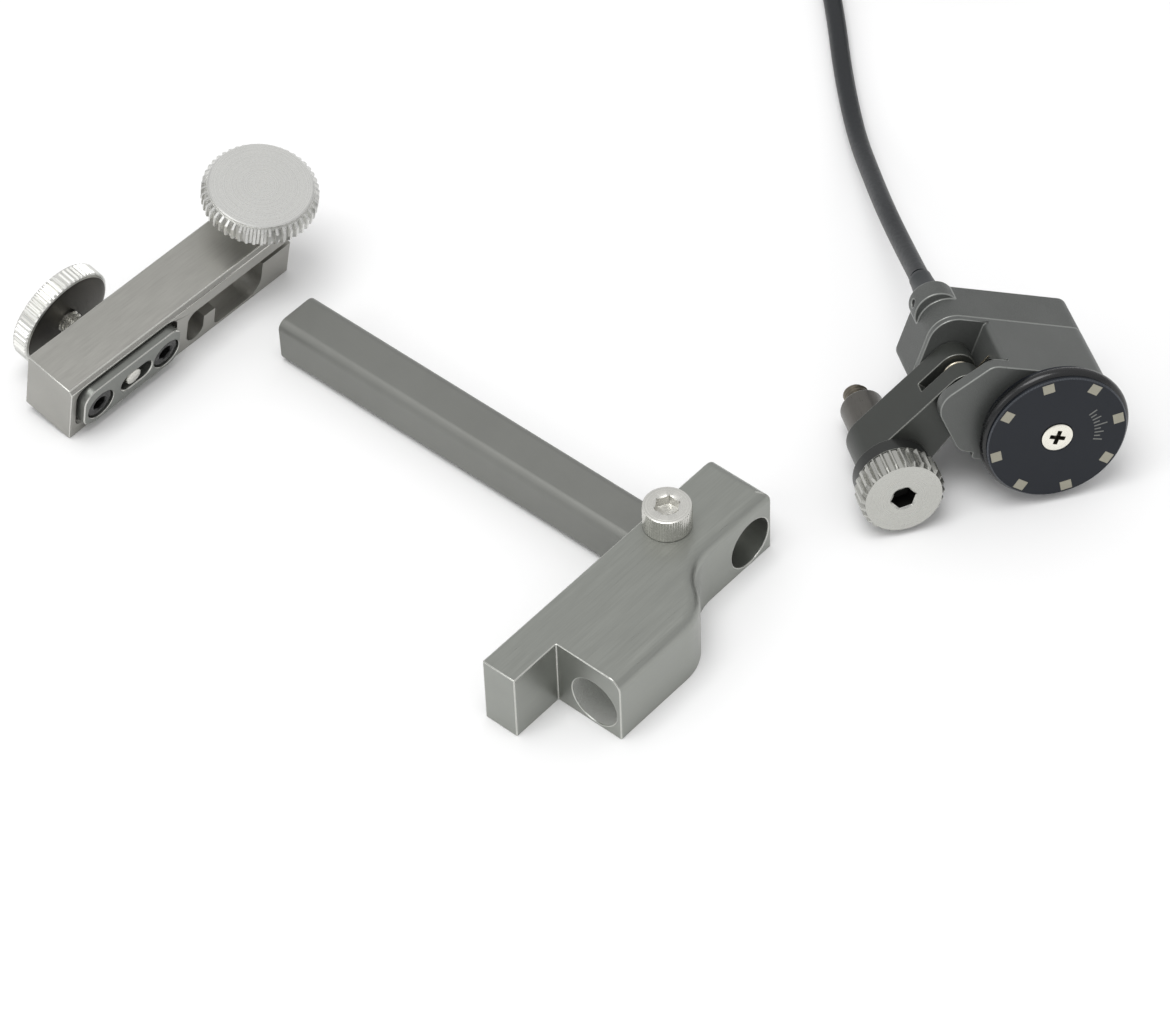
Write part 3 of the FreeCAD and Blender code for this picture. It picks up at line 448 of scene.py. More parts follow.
# The bore walls take a near-white colour, far brighter than the bracket's metal: a painted reflection.
polished_with_painted_reflection = finish("polished bore", BRACKET, shade(240, 241, 238), 0.2, metal=0.75, grain=4.0, bump=0.003)
cross_block = dressed("cross_block", "cross_bracket", [bracket_metal, bracket_edge_painted_highlight, polished_with_painted_reflection],
                      0.14, 3)
NEAR_BORE_Y, BORE_UP, BORE, TONGUE, BORE_DEEP = -9.6, 3.45, 3.1, 6.7, 9.0
to_bracket = (TO_METRES @ BRACKET).inverted()
# Faces on the near bore's wall get the painted reflection.
bore_faces = 0
for face in cross_block.data.polygons:
    spot = to_bracket @ face.center
    facing = (to_bracket.to_3x3() @ face.normal).normalized()
    off_axis = math.hypot(spot.y - NEAR_BORE_Y, spot.z - BORE_UP)
    inside = TONGUE + 0.2 < spot.x < TONGUE + BORE_DEEP + 0.1
    if inside and off_axis < BORE + 0.02 and abs(facing.x) < 0.3:
        face.material_index = 2
        bore_faces += 1
print("bore faces polished", bore_faces)
dressed("square_bar", "cross_bracket", [bar_metal, bar_edge_painted_highlight], 0.14, 3)

# %% [markdown]
# The clamp arm is cut from the same stock. It is thicker than it is wide where the jaw is let
# in, and its slot, keyhole and window are wire-cut, so the inside walls stay crisp.

# %% Clamp arm and jaw plate
clamp_metal = finish("milled clamp", CLAMP, shade(158, 157, 152), 0.38, metal=0.85, grain=5.0,
                     stretch=(0.05, 1, 1), drift=0.12, bump=0.012)
jaw_metal = finish("jaw plate", CLAMP, shade(120, 122, 118), 0.36, metal=0.8, grain=6.0,
                   stretch=(0.1, 1, 1), drift=0.1, bump=0.01)
# The clamp's bevel strips and the jaw plate's chamfer are painted brighter than the faces: partly burnish,
# partly a painted highlight.
clamp_edge_painted_highlight = finish("clamp strip painted highlight", CLAMP, shade(196, 196, 191), 0.24, metal=0.9, grain=3.0, bump=0.004)
clamp_low, clamp_high = local_box("clamp_body", CLAMP)
to_clamp = (TO_METRES @ CLAMP).inverted()
NEAR_PLANE = 0.5


def on_outline(edge):
    """True for an edge that lies on two of the clamp arm's outer sides."""
    middle = to_clamp @ ((edge.verts[0].co + edge.verts[1].co) / 2)
    sides = [min(middle[i] - clamp_low[i], clamp_high[i] - middle[i]) < NEAR_PLANE for i in range(3)]
    return sum(sides) >= 2 and edge.calc_length() > 0.6 * MM


dressed("clamp_body", "clamp_arm", [clamp_metal, clamp_edge_painted_highlight], 0.1, 2, 30, on_outline)

# %% [markdown]
# The head's two castings are anodised dark grey. Their skin is a little rough, so the grain is
# even and the bump is stronger. The swinging arm between them is darker and smoother, with a
# fine bright line where the finish has worn off its edges.

# %% Head castings and arm
rear_grey = finish("rear casting", HEAD, shade(88, 90, 88), 0.48, metal=0.45, grain=5.0, drift=0.2,
                   bump=0.16, speck=0.4)
front_grey = finish("front casting", HEAD, shade(90, 92, 90), 0.42, metal=0.4, grain=6.0, drift=0.14,
                    bump=0.06)
worn_edge = finish("worn edge", HEAD, shade(138, 140, 137), 0.34, metal=0.6, grain=5.0, bump=0.005)
arm_grey = finish("arm grey", HEAD, shade(60, 62, 59), 0.38, metal=0.4, grain=9.0, drift=0.1, bump=0.008)
arm_edge = finish("arm edge", HEAD, shade(118, 119, 115), 0.3, metal=0.7, grain=5.0, bump=0.004)
dressed("rear_shell", "sensor_head", [rear_grey, worn_edge], 0.14, 3)
dressed("front_body", "sensor_head", [front_grey, worn_edge], 0.12, 3)
dressed("swing_arm", "swing_arm", [arm_grey, arm_edge], 0.12, 3)

# %% [markdown]
# Round pieces come off a lathe, and the same idea makes them here: half of the outline is drawn
# as a few radius and height pairs, and one full spin closes it. The outline starts and ends on
# the axis, where the doubled points are merged, and the faces are turned outwards last.

# %% Turning on the lathe
def turned(outline, steps=96):
    """A closed turned form about the third axis, from radius and height pairs in millimetres."""
    bm = bmesh.new()
    verts = [bm.verts.new((radius, 0.0, height)) for radius, height in outline]
    edges = [bm.edges.new(pair) for pair in zip(verts, verts[1:])]
    if outline[0][0] > 0 or outline[-1][0] > 0:
        edges.append(bm.edges.new((verts[-1], verts[0])))
    bmesh.ops.spin(
        bm, geom=verts + edges, cent=(0, 0, 0), axis=(0, 0, 1), dvec=(0, 0, 0),
        angle=2 * math.pi, steps=steps, use_merge=True, use_normal_flip=False, use_duplicate=False,
    )
    bmesh.ops.remove_doubles(bm, verts=bm.verts, dist=0.0005)
    bmesh.ops.recalc_face_normals(bm, faces=bm.faces)
    return bm


def put(bm, place, at, along=None):
    """Moves a turned form from its own axis to its spot in an assembly, and into metres."""
    spot = Matrix.Translation(at)
    if along is not None:
        spot = spot @ along
    bmesh.ops.transform(bm, matrix=TO_METRES @ place @ spot, verts=bm.verts)
    return bm


def ring_verts(bm, radius, low, high, slack=0.01):
    """The points of the form on one radius between two heights."""
    found = []
    for vert in bm.verts:
        away = math.hypot(vert.co.x, vert.co.y)
        if abs(away - radius) < slack and low - slack <= vert.co.z <= high + slack:
            found.append(vert)
    return found


def reshape(verts, radius_at):
    """Moves each point in or out so that its radius follows a function of its angle."""
    for vert in verts:
        angle = math.atan2(vert.co.y, vert.co.x)
        radius = radius_at(angle)
        vert.co.x = radius * math.cos(angle)
        vert.co.y = radius * math.sin(angle)


def hexagon(across):
    def radius_at(angle):
        turn_ = (math.degrees(angle) + 30) % 60 - 30
        return across / 2 / math.cos(math.radians(turn_))
    return radius_at


def knurl(bm, radius, teeth, depth, low, high, sharp=False):
    """Presses straight teeth into a rim: two points on each crest and two in each groove."""
    pitch = 2 * math.pi / teeth
    for vert in ring_verts(bm, radius, low, high):
        angle = math.atan2(vert.co.y, vert.co.x) % pitch / pitch
        down = depth if angle > 0.45 else 0.0
        if sharp:
            down = depth * abs(2 * angle - 1)
        scale = (radius - down) / radius
        vert.co.x *= scale
        vert.co.y *= scale


print("lathe ready")

# %% [markdown]
# A screw thread is the same spin with a climb: each turn lifts the outline by one pitch, so the
# bands of neighbouring turns meet and merge. Two plane cuts then square its ends off.

# %% Cutting a thread
def threaded(radius, pitch, low, high, steps=40):
    """A threaded rod from low to high about the third axis."""
    root = radius - 0.54 * pitch
    turns = math.ceil((high - low) / pitch) + 2
    bm = bmesh.new()
    start = low - pitch
    outline = [(root, 0.0), (root, 0.1), (radius, 0.44), (radius, 0.56), (root, 0.9), (root, 1.0)]
    verts = [bm.verts.new((r, 0.0, start + lift * pitch)) for r, lift in outline]
    edges = [bm.edges.new(pair) for pair in zip(verts, verts[1:])]
    bmesh.ops.spin(
        bm, geom=verts + edges, cent=(0, 0, 0), axis=(0, 0, 1), dvec=(0, 0, pitch / steps),
        angle=2 * math.pi * turns, steps=steps * turns, use_merge=False, use_normal_flip=False,
        use_duplicate=False,
    )
    bmesh.ops.remove_doubles(bm, verts=bm.verts, dist=0.001)
    for height, side in ((low, -1), (high, 1)):
        bmesh.ops.bisect_plane(
            bm, geom=bm.verts[:] + bm.edges[:] + bm.faces[:], dist=0.0001, plane_co=(0, 0, height),
            plane_no=(0, 0, side), clear_outer=True,
        )
        rim = [e for e in bm.edges if e.is_boundary and all(abs(v.co.z - height) < 0.001 for v in e.verts)]
        bmesh.ops.contextual_create(bm, geom=rim)
    bmesh.ops.recalc_face_normals(bm, faces=bm.faces)
    return bm


# %% [markdown]
# The top thumbscrew has forty-eight coarse straight teeth with chamfered ends and a face turned
# in fine rings. Its hub sits on a loose washer. All of it is bright nickel.

# %% Top thumbscrew
TOP_AXIS = CLAMP @ Matrix.Translation((33.0, 0.0, -3.5)) @ ALONG_Y
knob_metal = finish("knurled nickel", TOP_AXIS, shade(208, 208, 205), 0.28, metal=0.9, grain=4.0, drift=0.08,
                    bump=0.016, rings=8.0)
thread_metal = finish("bright thread", TOP_AXIS, shade(205, 204, 198), 0.25, metal=0.95, grain=5.0, bump=0.003)
low, high = local_box("top_knob", CLAMP)
HUB_LOW, KNOB_HIGH = low.y, high.y
KNOB_RADIUS = (high.x - low.x) / 2
KNOB_LOW = 11.7
RIM_HIGH = KNOB_HIGH - 0.4
TOP_KNOB = [
    (0.0, HUB_LOW), (2.45, HUB_LOW), (2.6, HUB_LOW + 0.15), (2.6, KNOB_LOW - 0.2), (2.8, KNOB_LOW),
    (KNOB_RADIUS - 0.55, KNOB_LOW), (KNOB_RADIUS, KNOB_LOW + 0.5), (KNOB_RADIUS, RIM_HIGH - 0.55),
    (KNOB_RADIUS - 0.6, RIM_HIGH), (KNOB_RADIUS - 0.7, RIM_HIGH), (KNOB_RADIUS - 0.7, KNOB_HIGH - 0.12),
    (KNOB_RADIUS - 0.85, KNOB_HIGH), (0.0, KNOB_HIGH),
]
TOP_TEETH = 48
bm = turned(TOP_KNOB, TOP_TEETH * 6)
knurl(bm, KNOB_RADIUS, TOP_TEETH, 0.5, KNOB_LOW, RIM_HIGH)
put(bm, TOP_AXIS, (0, 0, 0))
settle(bm, "top_knob_turned", "top_thumbscrew", [knob_metal], ("top_knob",), 25)
low, high = local_box("top_stud", CLAMP)
bm = threaded(1.25, 0.45, low.y, HUB_LOW + 0.1)
put(bm, TOP_AXIS, (0, 0, 0))
settle(bm, "top_stud_thread", "top_thumbscrew", [thread_metal], ("top_stud",), 50)
print("top knob", round(2 * KNOB_RADIUS, 2), "mm across,", TOP_TEETH, "teeth")

# %% The loose washer
low, high = local_box("top_washer", CLAMP)
WASHER = [(1.28, low.y), (2.82, low.y), (2.9, low.y + 0.08), (2.9, high.y - 0.08), (2.82, high.y),
          (1.33, high.y), (1.28, high.y - 0.05)]
bm = turned(WASHER, 72)
put(bm, TOP_AXIS, (0, 0, 0))
settle(bm, "top_washer_turned", "top_pad", [thread_metal], ("top_washer",))

# %% [markdown]
# The rear thumbscrew is finer: ninety small teeth with rounded ends, and a threaded shank that
# carries a swivelling push pin through the jaw.

# %% Rear thumbscrew and push pin
REAR_AXIS = CLAMP @ Matrix.Translation((9.1, 4.3, 0.0))
rear_metal = finish("rear nickel", REAR_AXIS, shade(214, 214, 210), 0.28, metal=0.9, grain=4.0, drift=0.08,
                    bump=0.006, rings=6.0)
# The knob's inner face, turned to the clamp, is painted dark: painted shade, not the nickel's own colour.
rear_face_painted_shade = finish("rear knob painted shade", REAR_AXIS, shade(92, 90, 86), 0.34, metal=0.9, grain=4.0, bump=0.006,
                   rings=6.0)
low, high = local_box("rear_knob", CLAMP)
REAR_LOW, REAR_HIGH = low.z, high.z
REAR_RADIUS = (high.x - low.x) / 2
REAR_TEETH = 64
REAR_KNOB = [
    (0.0, REAR_LOW + 0.06), (1.7, REAR_LOW + 0.06), (1.85, REAR_LOW), (REAR_RADIUS - 0.9, REAR_LOW),
    (REAR_RADIUS - 0.45, REAR_LOW + 0.05), (REAR_RADIUS - 0.2, REAR_LOW + 0.17),
    (REAR_RADIUS, REAR_LOW + 0.38), (REAR_RADIUS, REAR_HIGH - 0.38), (REAR_RADIUS - 0.2, REAR_HIGH - 0.17),
    (REAR_RADIUS - 0.45, REAR_HIGH - 0.05), (REAR_RADIUS - 0.9, REAR_HIGH), (2.1, REAR_HIGH), (2.0, REAR_HIGH),
    (0.0, REAR_HIGH),
]
bm = turned(REAR_KNOB, REAR_TEETH * 4)
knurl(bm, REAR_RADIUS, REAR_TEETH, 0.2, REAR_LOW, REAR_HIGH)
# The faces at the knob's top, turned to the clamp, take the painted shade.
for face in bm.faces:
    if face.calc_center_median().z > REAR_HIGH - 0.03:
        face.material_index = 1
put(bm, REAR_AXIS, (0, 0, 0))
settle(bm, "rear_knob_turned", "rear_thumbscrew", [rear_metal, rear_face_painted_shade], ("rear_knob",), 25)
low, high = local_box("rear_stud", CLAMP)
bm = threaded(1.45, 0.5, REAR_HIGH - 0.1, high.z)
put(bm, REAR_AXIS, (0, 0, 0))
settle(bm, "rear_stud_thread", "rear_thumbscrew", [thread_metal], ("rear_stud",), 50)
low, high = local_box("push_pin", CLAMP)
PIN_RADIUS = (high.x - low.x) / 2
PIN = [(0.0, low.z), (0.7, low.z), (0.7, -3.4), (PIN_RADIUS, -3.4), (PIN_RADIUS, high.z - 0.4),
       (PIN_RADIUS * 0.9, high.z - 0.14), (PIN_RADIUS * 0.62, high.z - 0.02), (0.0, high.z)]
bm = turned(PIN, 64)
put(bm, REAR_AXIS, (0, 0, 0))
settle(bm, "push_pin_turned", "rear_pad", [thread_metal], ("push_pin",), 40)
print("rear knob", round(2 * REAR_RADIUS, 2), "mm across,", REAR_TEETH, "teeth")

# %% [markdown]
# The jaw plate is a flat lozenge with a slot for the push pin and two counterbores. Each outline
# is drawn as a loop at every height where it changes, and the loops are bridged into walls. The
# flat faces between them are filled last, so a small chamfer runs evenly round every rim.

# %% Outlines as loops
def lozenge(low_x, low_y, high_x, high_y, radius, steps=12):
    """A rectangle with round corners, as points that run once round."""
    corners = ((high_x - radius, high_y - radius, 0), (low_x + radius, high_y - radius, 90),
               (low_x + radius, low_y + radius, 180), (high_x - radius, low_y + radius, 270))
    points = []
    for x, y, start in corners:
        for step in range(steps + 1):
            angle = math.radians(start + 90 * step / steps)
            points.append((x + radius * math.cos(angle), y + radius * math.sin(angle)))
    return points


def draw_loop(bm, points, height):
    verts = [bm.verts.new((x, y, height)) for x, y in points]
    return [bm.edges.new((a, b)) for a, b in zip(verts, verts[1:] + verts[:1])]


def wall(bm, loops):
    """Bridges a stack of loops into a wall and gives back its first and last loop."""
    for one, other in zip(loops, loops[1:]):
        bmesh.ops.bridge_loops(bm, edges=one + other)
    return loops[0], loops[-1]


# %% The jaw plate
low, high = local_box("jaw_plate", CLAMP)
CHAMFER = 0.12
PLATE_ROUND = 1.7
SCREW_FIRST, SCREW_LAST, SCREW_UP = 3.8, 14.15, 4.1
SEAT_RADIUS, SEAT_DEEP = 1.98, 1.4
SLOT_LOW, SLOT_HIGH = (7.0, 3.0), (11.85, 5.6)
bm = bmesh.new()
top = high.z
outer = wall(bm, [
    draw_loop(bm, lozenge(low.x, low.y, high.x, high.y, PLATE_ROUND), low.z),
    draw_loop(bm, lozenge(low.x, low.y, high.x, high.y, PLATE_ROUND), top - CHAMFER),
    draw_loop(bm, lozenge(low.x + CHAMFER, low.y + CHAMFER, high.x - CHAMFER, high.y - CHAMFER,
                          PLATE_ROUND - CHAMFER), top),
])
slot_radius = (SLOT_HIGH[1] - SLOT_LOW[1]) / 2 - 0.001
through = wall(bm, [
    draw_loop(bm, lozenge(*SLOT_LOW, *SLOT_HIGH, slot_radius), low.z),
    draw_loop(bm, lozenge(*SLOT_LOW, *SLOT_HIGH, slot_radius), top - CHAMFER),
    draw_loop(bm, lozenge(SLOT_LOW[0] - CHAMFER, SLOT_LOW[1] - CHAMFER, SLOT_HIGH[0] + CHAMFER,
                          SLOT_HIGH[1] + CHAMFER, slot_radius + CHAMFER), top),
])
top_rims = outer[1] + through[1]
for along in (SCREW_FIRST, SCREW_LAST):
    rims = []
    for radius, height in ((SEAT_RADIUS, top - SEAT_DEEP), (SEAT_RADIUS, top - 0.06), (SEAT_RADIUS + 0.05, top)):
        points = [(along + radius * math.cos(math.pi * k / 30), SCREW_UP + radius * math.sin(math.pi * k / 30))
                  for k in range(60)]
        rims.append(draw_loop(bm, points, height))
    seat = wall(bm, rims)
    bmesh.ops.contextual_create(bm, geom=seat[0])
    top_rims += seat[1]
bmesh.ops.triangle_fill(bm, use_beauty=True, use_dissolve=False, edges=top_rims)
bmesh.ops.triangle_fill(bm, use_beauty=True, use_dissolve=False, edges=outer[0] + through[0])
bmesh.ops.recalc_face_normals(bm, faces=bm.faces)
# The chamfer faces round the plate's top take the edge finish, whose brightness is partly a painted highlight.
for face in bm.faces:
    middle = face.calc_center_median()
    if top - CHAMFER < middle.z < top - 0.001:
        face.material_index = 1
put(bm, CLAMP, (0, 0, 0))
settle(bm, "jaw_plate_milled", "clamp_arm", [jaw_metal, clamp_edge_painted_highlight], ("jaw_plate",))
print("jaw plate", round(high.x - low.x, 2), "by", round(high.y - low.y, 2), "mm")

# %% [markdown]
# Socket screws hold the jaw plate and the bracket. A socket is a turned hole whose points are
# pushed out to a hexagon. The jaw's two screws are blackened; the bracket's cap screw is bright
# with a knurled head.

# %% Socket screws
def socket_screw(head_radius, head_low, head_high, across, deep, shank_radius, shank_low, steps=96):
    """A cap screw about the third axis: chamfered head, hexagon socket and plain shank."""
    hole = across / 2 * 1.08
    outline = [
        (0.0, shank_low), (shank_radius - 0.15, shank_low), (shank_radius, shank_low + 0.15),
        (shank_radius, head_low), (head_radius - 0.08, head_low), (head_radius, head_low + 0.08),
        (head_radius, head_high - 0.2), (head_radius - 0.06, head_high - 0.06),
        (head_radius - 0.22, head_high), (hole + 0.14, head_high), (hole, head_high - 0.12),
        (hole, head_high - deep), (0.0, head_high - deep - 0.25),
    ]
    bm = turned(outline, steps)
    reshape(ring_verts(bm, hole, head_high - deep, head_high - 0.1), hexagon(across))
    return bm


black_screw = finish("black screw", CLAMP, shade(38, 38, 38), 0.3, metal=0.6, grain=6.0, bump=0.006)
bright_screw = finish("bright screw", BRACKET @ Matrix.Translation((27.25, -2.45, 0)),
                      shade(210, 209, 204), 0.24, metal=0.95, grain=5.0, bump=0.005, rings=6.0)
low, high = local_box("jaw_screws", CLAMP)
JAW_HEAD = SEAT_RADIUS - 0.07
for number, along in enumerate((SCREW_FIRST, SCREW_LAST), start=1):
    bm = socket_screw(JAW_HEAD, high.z - 1.2, high.z, 1.7, 0.9, 1.23, low.z)
    put(bm, CLAMP, (along, (low.y + high.y) / 2, 0))
    stands_for = ("jaw_screws",)
    settle(bm, f"jaw_screw_{number}", "clamp_arm", [black_screw], stands_for)

# %% The bracket's cap screw
low, high = local_box("bar_screw", BRACKET)
CAP_RADIUS = (high.x - low.x) / 2
CAP_TALL = 3.0
bm = socket_screw(CAP_RADIUS, high.z - CAP_TALL, high.z, 2.5, 1.3, 1.45, low.z, 60 * 4)
knurl(bm, CAP_RADIUS, 60, 0.1, high.z - CAP_TALL + 0.1, high.z - 0.15, True)
put(bm, BRACKET, ((low.x + high.x) / 2, (low.y + high.y) / 2, 0))
settle(bm, "bar_screw_turned", "cross_bracket", [bright_screw], ("bar_screw",))
print("cap screw head", round(2 * CAP_RADIUS, 2), "mm")

# %% [markdown]
# The friction wheel is a navy anodised disc with a glossy black rubber ring in its groove. Its
# rim has a thin chamfer, and a bright countersunk cross-head screw holds it on its axle.

# %% The wheel
AXLE = HEAD
disc_blue = finish("navy anodise", AXLE, shade(23, 27, 34), 0.34, metal=0.45, grain=7.0, drift=0.1,
                   bump=0.004, rings=7.0)
disc_edge = finish("worn rim", AXLE, shade(70, 73, 78), 0.28, metal=0.6, grain=5.0, bump=0.003)
WHEEL, THICK, GROOVE, FLANGE = 8.02, 2.4, 7.0, 0.45
SEAT = 1.8
DISC = [
    (SEAT + 0.22, -0.0), (WHEEL - 0.16, 0.0), (WHEEL, -0.14), (WHEEL, -FLANGE), (GROOVE + 0.1, -FLANGE - 0.05),
    (GROOVE, -FLANGE - 0.15), (GROOVE, FLANGE + 0.15 - THICK), (GROOVE + 0.1, FLANGE + 0.05 - THICK),
    (WHEEL, FLANGE - THICK), (WHEEL, 0.14 - THICK), (WHEEL - 0.16, -THICK), (0.95, -THICK), (0.95, -0.95),
    (SEAT + 0.04, -0.1),
]
bm = turned(DISC, 192)
for face in bm.faces:
    middle = face.calc_center_median()
    away = math.hypot(middle.x, middle.y)
    if WHEEL - 0.17 < away < WHEEL - 0.02 and (middle.z > -0.14 or middle.z < 0.14 - THICK):
        face.material_index = 1
put(bm, AXLE, (0, 0, 0))
settle(bm, "wheel_disc_turned", "wheel", [disc_blue, disc_edge], ("wheel_disc",))

# %% [markdown]
# The tyre is a round-section rubber ring, stretched into the groove. A circle spun about the
# axle makes it.

# %% The tyre
rubber = finish("tyre rubber", AXLE, shade(12, 13, 15), 0.26, grain=3.0, drift=0.1, bump=0.006, coat=0.1)
TYRE, TYRE_STEPS = 8.5, 24
SECTION = (TYRE - GROOVE) / 2
circle = [
    (GROOVE + SECTION + SECTION * math.cos(2 * math.pi * k / TYRE_STEPS),
     -THICK / 2 + SECTION * math.sin(2 * math.pi * k / TYRE_STEPS))
    for k in range(TYRE_STEPS)
]
bm = turned(circle, 192)
put(bm, AXLE, (0, 0, 0))
settle(bm, "wheel_tyre_ring", "wheel", [rubber], ("wheel_tyre",), 60)

# %% The eight pads
pad_silver = finish("pad silver", AXLE, shade(150, 147, 133), 0.4, metal=0.5, grain=9.0, drift=0.2, bump=0.006)
dressed("index_marks", "wheel", [pad_silver], 0.0)

# %% [markdown]
# The cross recess is a square hole pushed out into four arms. Where an arm's side is nearer than
# its end, the side sets the radius, which draws the cross.

# %% The wheel's screw
def cross_hole(reach, half):
    def radius_at(angle):
        c = max(abs(math.cos(angle)), 1e-6)
        s = max(abs(math.sin(angle)), 1e-6)
        return max(min(reach / c, half / s), min(reach / s, half / c))
    return radius_at


screw_silver = finish("wheel screw", AXLE, shade(232, 229, 218), 0.22, metal=0.9, grain=4.0, bump=0.003)
HOLE = 0.62
WHEEL_SCREW = [
    (0.0, -5.3), (0.88, -5.3), (0.88, -0.94), (SEAT - 0.06, -0.1), (SEAT - 0.04, -0.02), (SEAT - 0.14, 0.03),
    (1.15, 0.08), (HOLE + 0.5, 0.08), (HOLE, 0.04), (HOLE - 0.08, -0.6), (0.0, -0.7),
]
bm = turned(WHEEL_SCREW, 192)
reshape(ring_verts(bm, HOLE, 0.0, 0.1), cross_hole(0.92, 0.26))
reshape(ring_verts(bm, HOLE - 0.08, -0.61, -0.5), cross_hole(0.72, 0.2))
# The cross recess's walls are painted dark: painted shade inside the recess.
recess_painted_shade = finish("recess painted shade", AXLE, shade(62, 58, 50), 0.4, metal=0.7, grain=5.0, bump=0.004)
for face in bm.faces:
    middle = face.calc_center_median()
    if math.hypot(middle.x, middle.y) < 0.95 and -0.8 < middle.z < 0.0:
        face.material_index = 1
put(bm, AXLE, (0, 0, 0))
settle(bm, "wheel_screw_turned", "wheel", [screw_silver, recess_painted_shade], ("wheel_screw",), 28)

# %% [markdown]
# A row of fine index ticks is marked on the disc beside the screw, the middle one the longest, so
# that the wheel's turning can be seen. Each tick is a very thin raised bar, placed by a loop.

# %% Index ticks
tick_grey = finish("tick grey", AXLE, shade(112, 113, 110), 0.5, metal=0.4, grain=8.0, drift=0.15, bump=0.003)
TICKS, TICK_CIRCLE, TICK_FIRST, TICK_LAST = 9, 4.75, 52.0, 4.0
TICK_WIDE, TICK_PROUD = 0.16, 0.012
bm = bmesh.new()
for number in range(TICKS):
    tick_angle = TICK_FIRST + (TICK_LAST - TICK_FIRST) * number / (TICKS - 1)
    tick_length = 1.5 if number == TICKS // 2 else (1.05 if number % 2 == 0 else 0.7)
    size = Matrix.Diagonal((tick_length, TICK_WIDE, 2 * TICK_PROUD, 1))
    spot = turned_by(tick_angle, "Z") @ Matrix.Translation((TICK_CIRCLE + tick_length / 2 - 0.5, 0, 0)) @ size
    bmesh.ops.create_cube(bm, size=1.0, matrix=spot)
put(bm, AXLE, (0, 0, 0))
settle(bm, "index_ticks", "wheel", [tick_grey])

# %% [markdown]
# The arm's thumbscrew is a flat knurled disc with twenty-eight coarse teeth and a hexagon
# socket. Behind it are a dark washer, a plain post and the end of its thread.

# %% Arm thumbscrew
low, high = local_box("arm_knob", HEAD)
ARM_X, ARM_Y = (low.x + high.x) / 2, (low.y + high.y) / 2
ARM_RADIUS = (high.x - low.x) / 2
ARM_LOW, ARM_HIGH = low.z, high.z
ARM_AXIS = HEAD @ Matrix.Translation((ARM_X, ARM_Y, 0.0))
arm_nickel = finish("arm knob nickel", ARM_AXIS, shade(184, 184, 179), 0.27, metal=0.9, grain=4.0, drift=0.08,
                    bump=0.006, rings=6.0)
ARM_TEETH = 28
ARM_HOLE = 1.35
ARM_KNOB = [
    (0.0, ARM_LOW), (ARM_RADIUS - 0.5, ARM_LOW), (ARM_RADIUS, ARM_LOW + 0.4), (ARM_RADIUS, ARM_HIGH - 0.45),
    (ARM_RADIUS - 0.42, ARM_HIGH), (ARM_HOLE + 0.2, ARM_HIGH), (ARM_HOLE, ARM_HIGH - 0.16),
    (ARM_HOLE, ARM_HIGH - 2.0), (0.0, ARM_HIGH - 2.2),
]
bm = turned(ARM_KNOB, ARM_TEETH * 6)
reshape(ring_verts(bm, ARM_HOLE, ARM_HIGH - 2.0, ARM_HIGH - 0.1), hexagon(2.5))
knurl(bm, ARM_RADIUS, ARM_TEETH, 0.42, ARM_LOW, ARM_HIGH)
# The socket's walls and floor are painted near black: painted shade inside the hole.
socket_painted_shade = finish("socket painted shade", ARM_AXIS, shade(40, 40, 38), 0.4, metal=0.7, grain=5.0, bump=0.004)
for face in bm.faces:
    middle = face.calc_center_median()
    if math.hypot(middle.x, middle.y) < ARM_HOLE + 0.1 and 0 > middle.z - ARM_HIGH + 0.3 > -2.2:
        face.material_index = 1
put(bm, ARM_AXIS, (0, 0, 0))
settle(bm, "arm_knob_turned", "arm_thumbscrew", [arm_nickel, socket_painted_shade], ("arm_knob",), 25)
low, high = local_box("arm_stud", HEAD)
bm = threaded(1.44, 0.5, low.z, ARM_LOW + 0.1)
put(bm, ARM_AXIS, (0, 0, 0))
stud_brown = finish("stud steel", ARM_AXIS, shade(128, 122, 112), 0.36, metal=0.8, grain=6.0, bump=0.005)
settle(bm, "arm_stud_thread", "arm_thumbscrew", [stud_brown], ("arm_stud",), 50)

# %% Arm washer and post
dark_washer = finish("dark washer", ARM_AXIS, shade(56, 57, 56), 0.36, metal=0.6, grain=6.0, bump=0.005)
post_steel = finish("post steel", ARM_AXIS, shade(96, 94, 90), 0.34, metal=0.8, grain=6.0, bump=0.005,
                    stretch=(1, 1, 0.2))
dressed("arm_washer", "knob_pad", [dark_washer, arm_edge], 0.06)
dressed("arm_post", "swing_arm", [post_steel, arm_edge], 0.08)

# %% [markdown]
# The strain relief is a soft sleeve pressed into the boss. It tapers gently onto the lead, and a
# rounded lip ends it, so its outline is a short curve worked out by a loop.

# %% Strain relief
low, high = local_box("cable_boot", HEAD)
BOOT = HEAD @ Matrix.Translation((-11.4, 4.7, 0.0))
boot_rubber = finish("boot rubber", BOOT, shade(40, 43, 45), 0.46, grain=5.0, drift=0.12, bump=0.012)
BOOT_WIDE, BOOT_THIN = 1.88, 1.28
BOOT_STEPS = 8
boot_outline = [(LEAD_RADIUS - 0.1, low.z), (BOOT_THIN - 0.08, low.z), (BOOT_THIN, low.z + 0.08)]
for number in range(1, BOOT_STEPS + 1):
    share = number / BOOT_STEPS
    wall_radius = BOOT_THIN + (BOOT_WIDE - BOOT_THIN) * share ** 2
    boot_outline.append((wall_radius, low.z + 0.08 + (high.z - low.z - 0.13) * share))
boot_outline.append((LEAD_RADIUS - 0.1, high.z - 0.05))
bm = turned(boot_outline, 72)
put(bm, BOOT, (0, 0, 0))
settle(bm, "cable_boot_sleeve", "sensor_head", [boot_rubber], ("cable_boot",), 45)

# %% [markdown]
# The plug is a small round five-pin one, black behind and bright in front. It lies beside the
# coil with its mouth on the lead's last run.

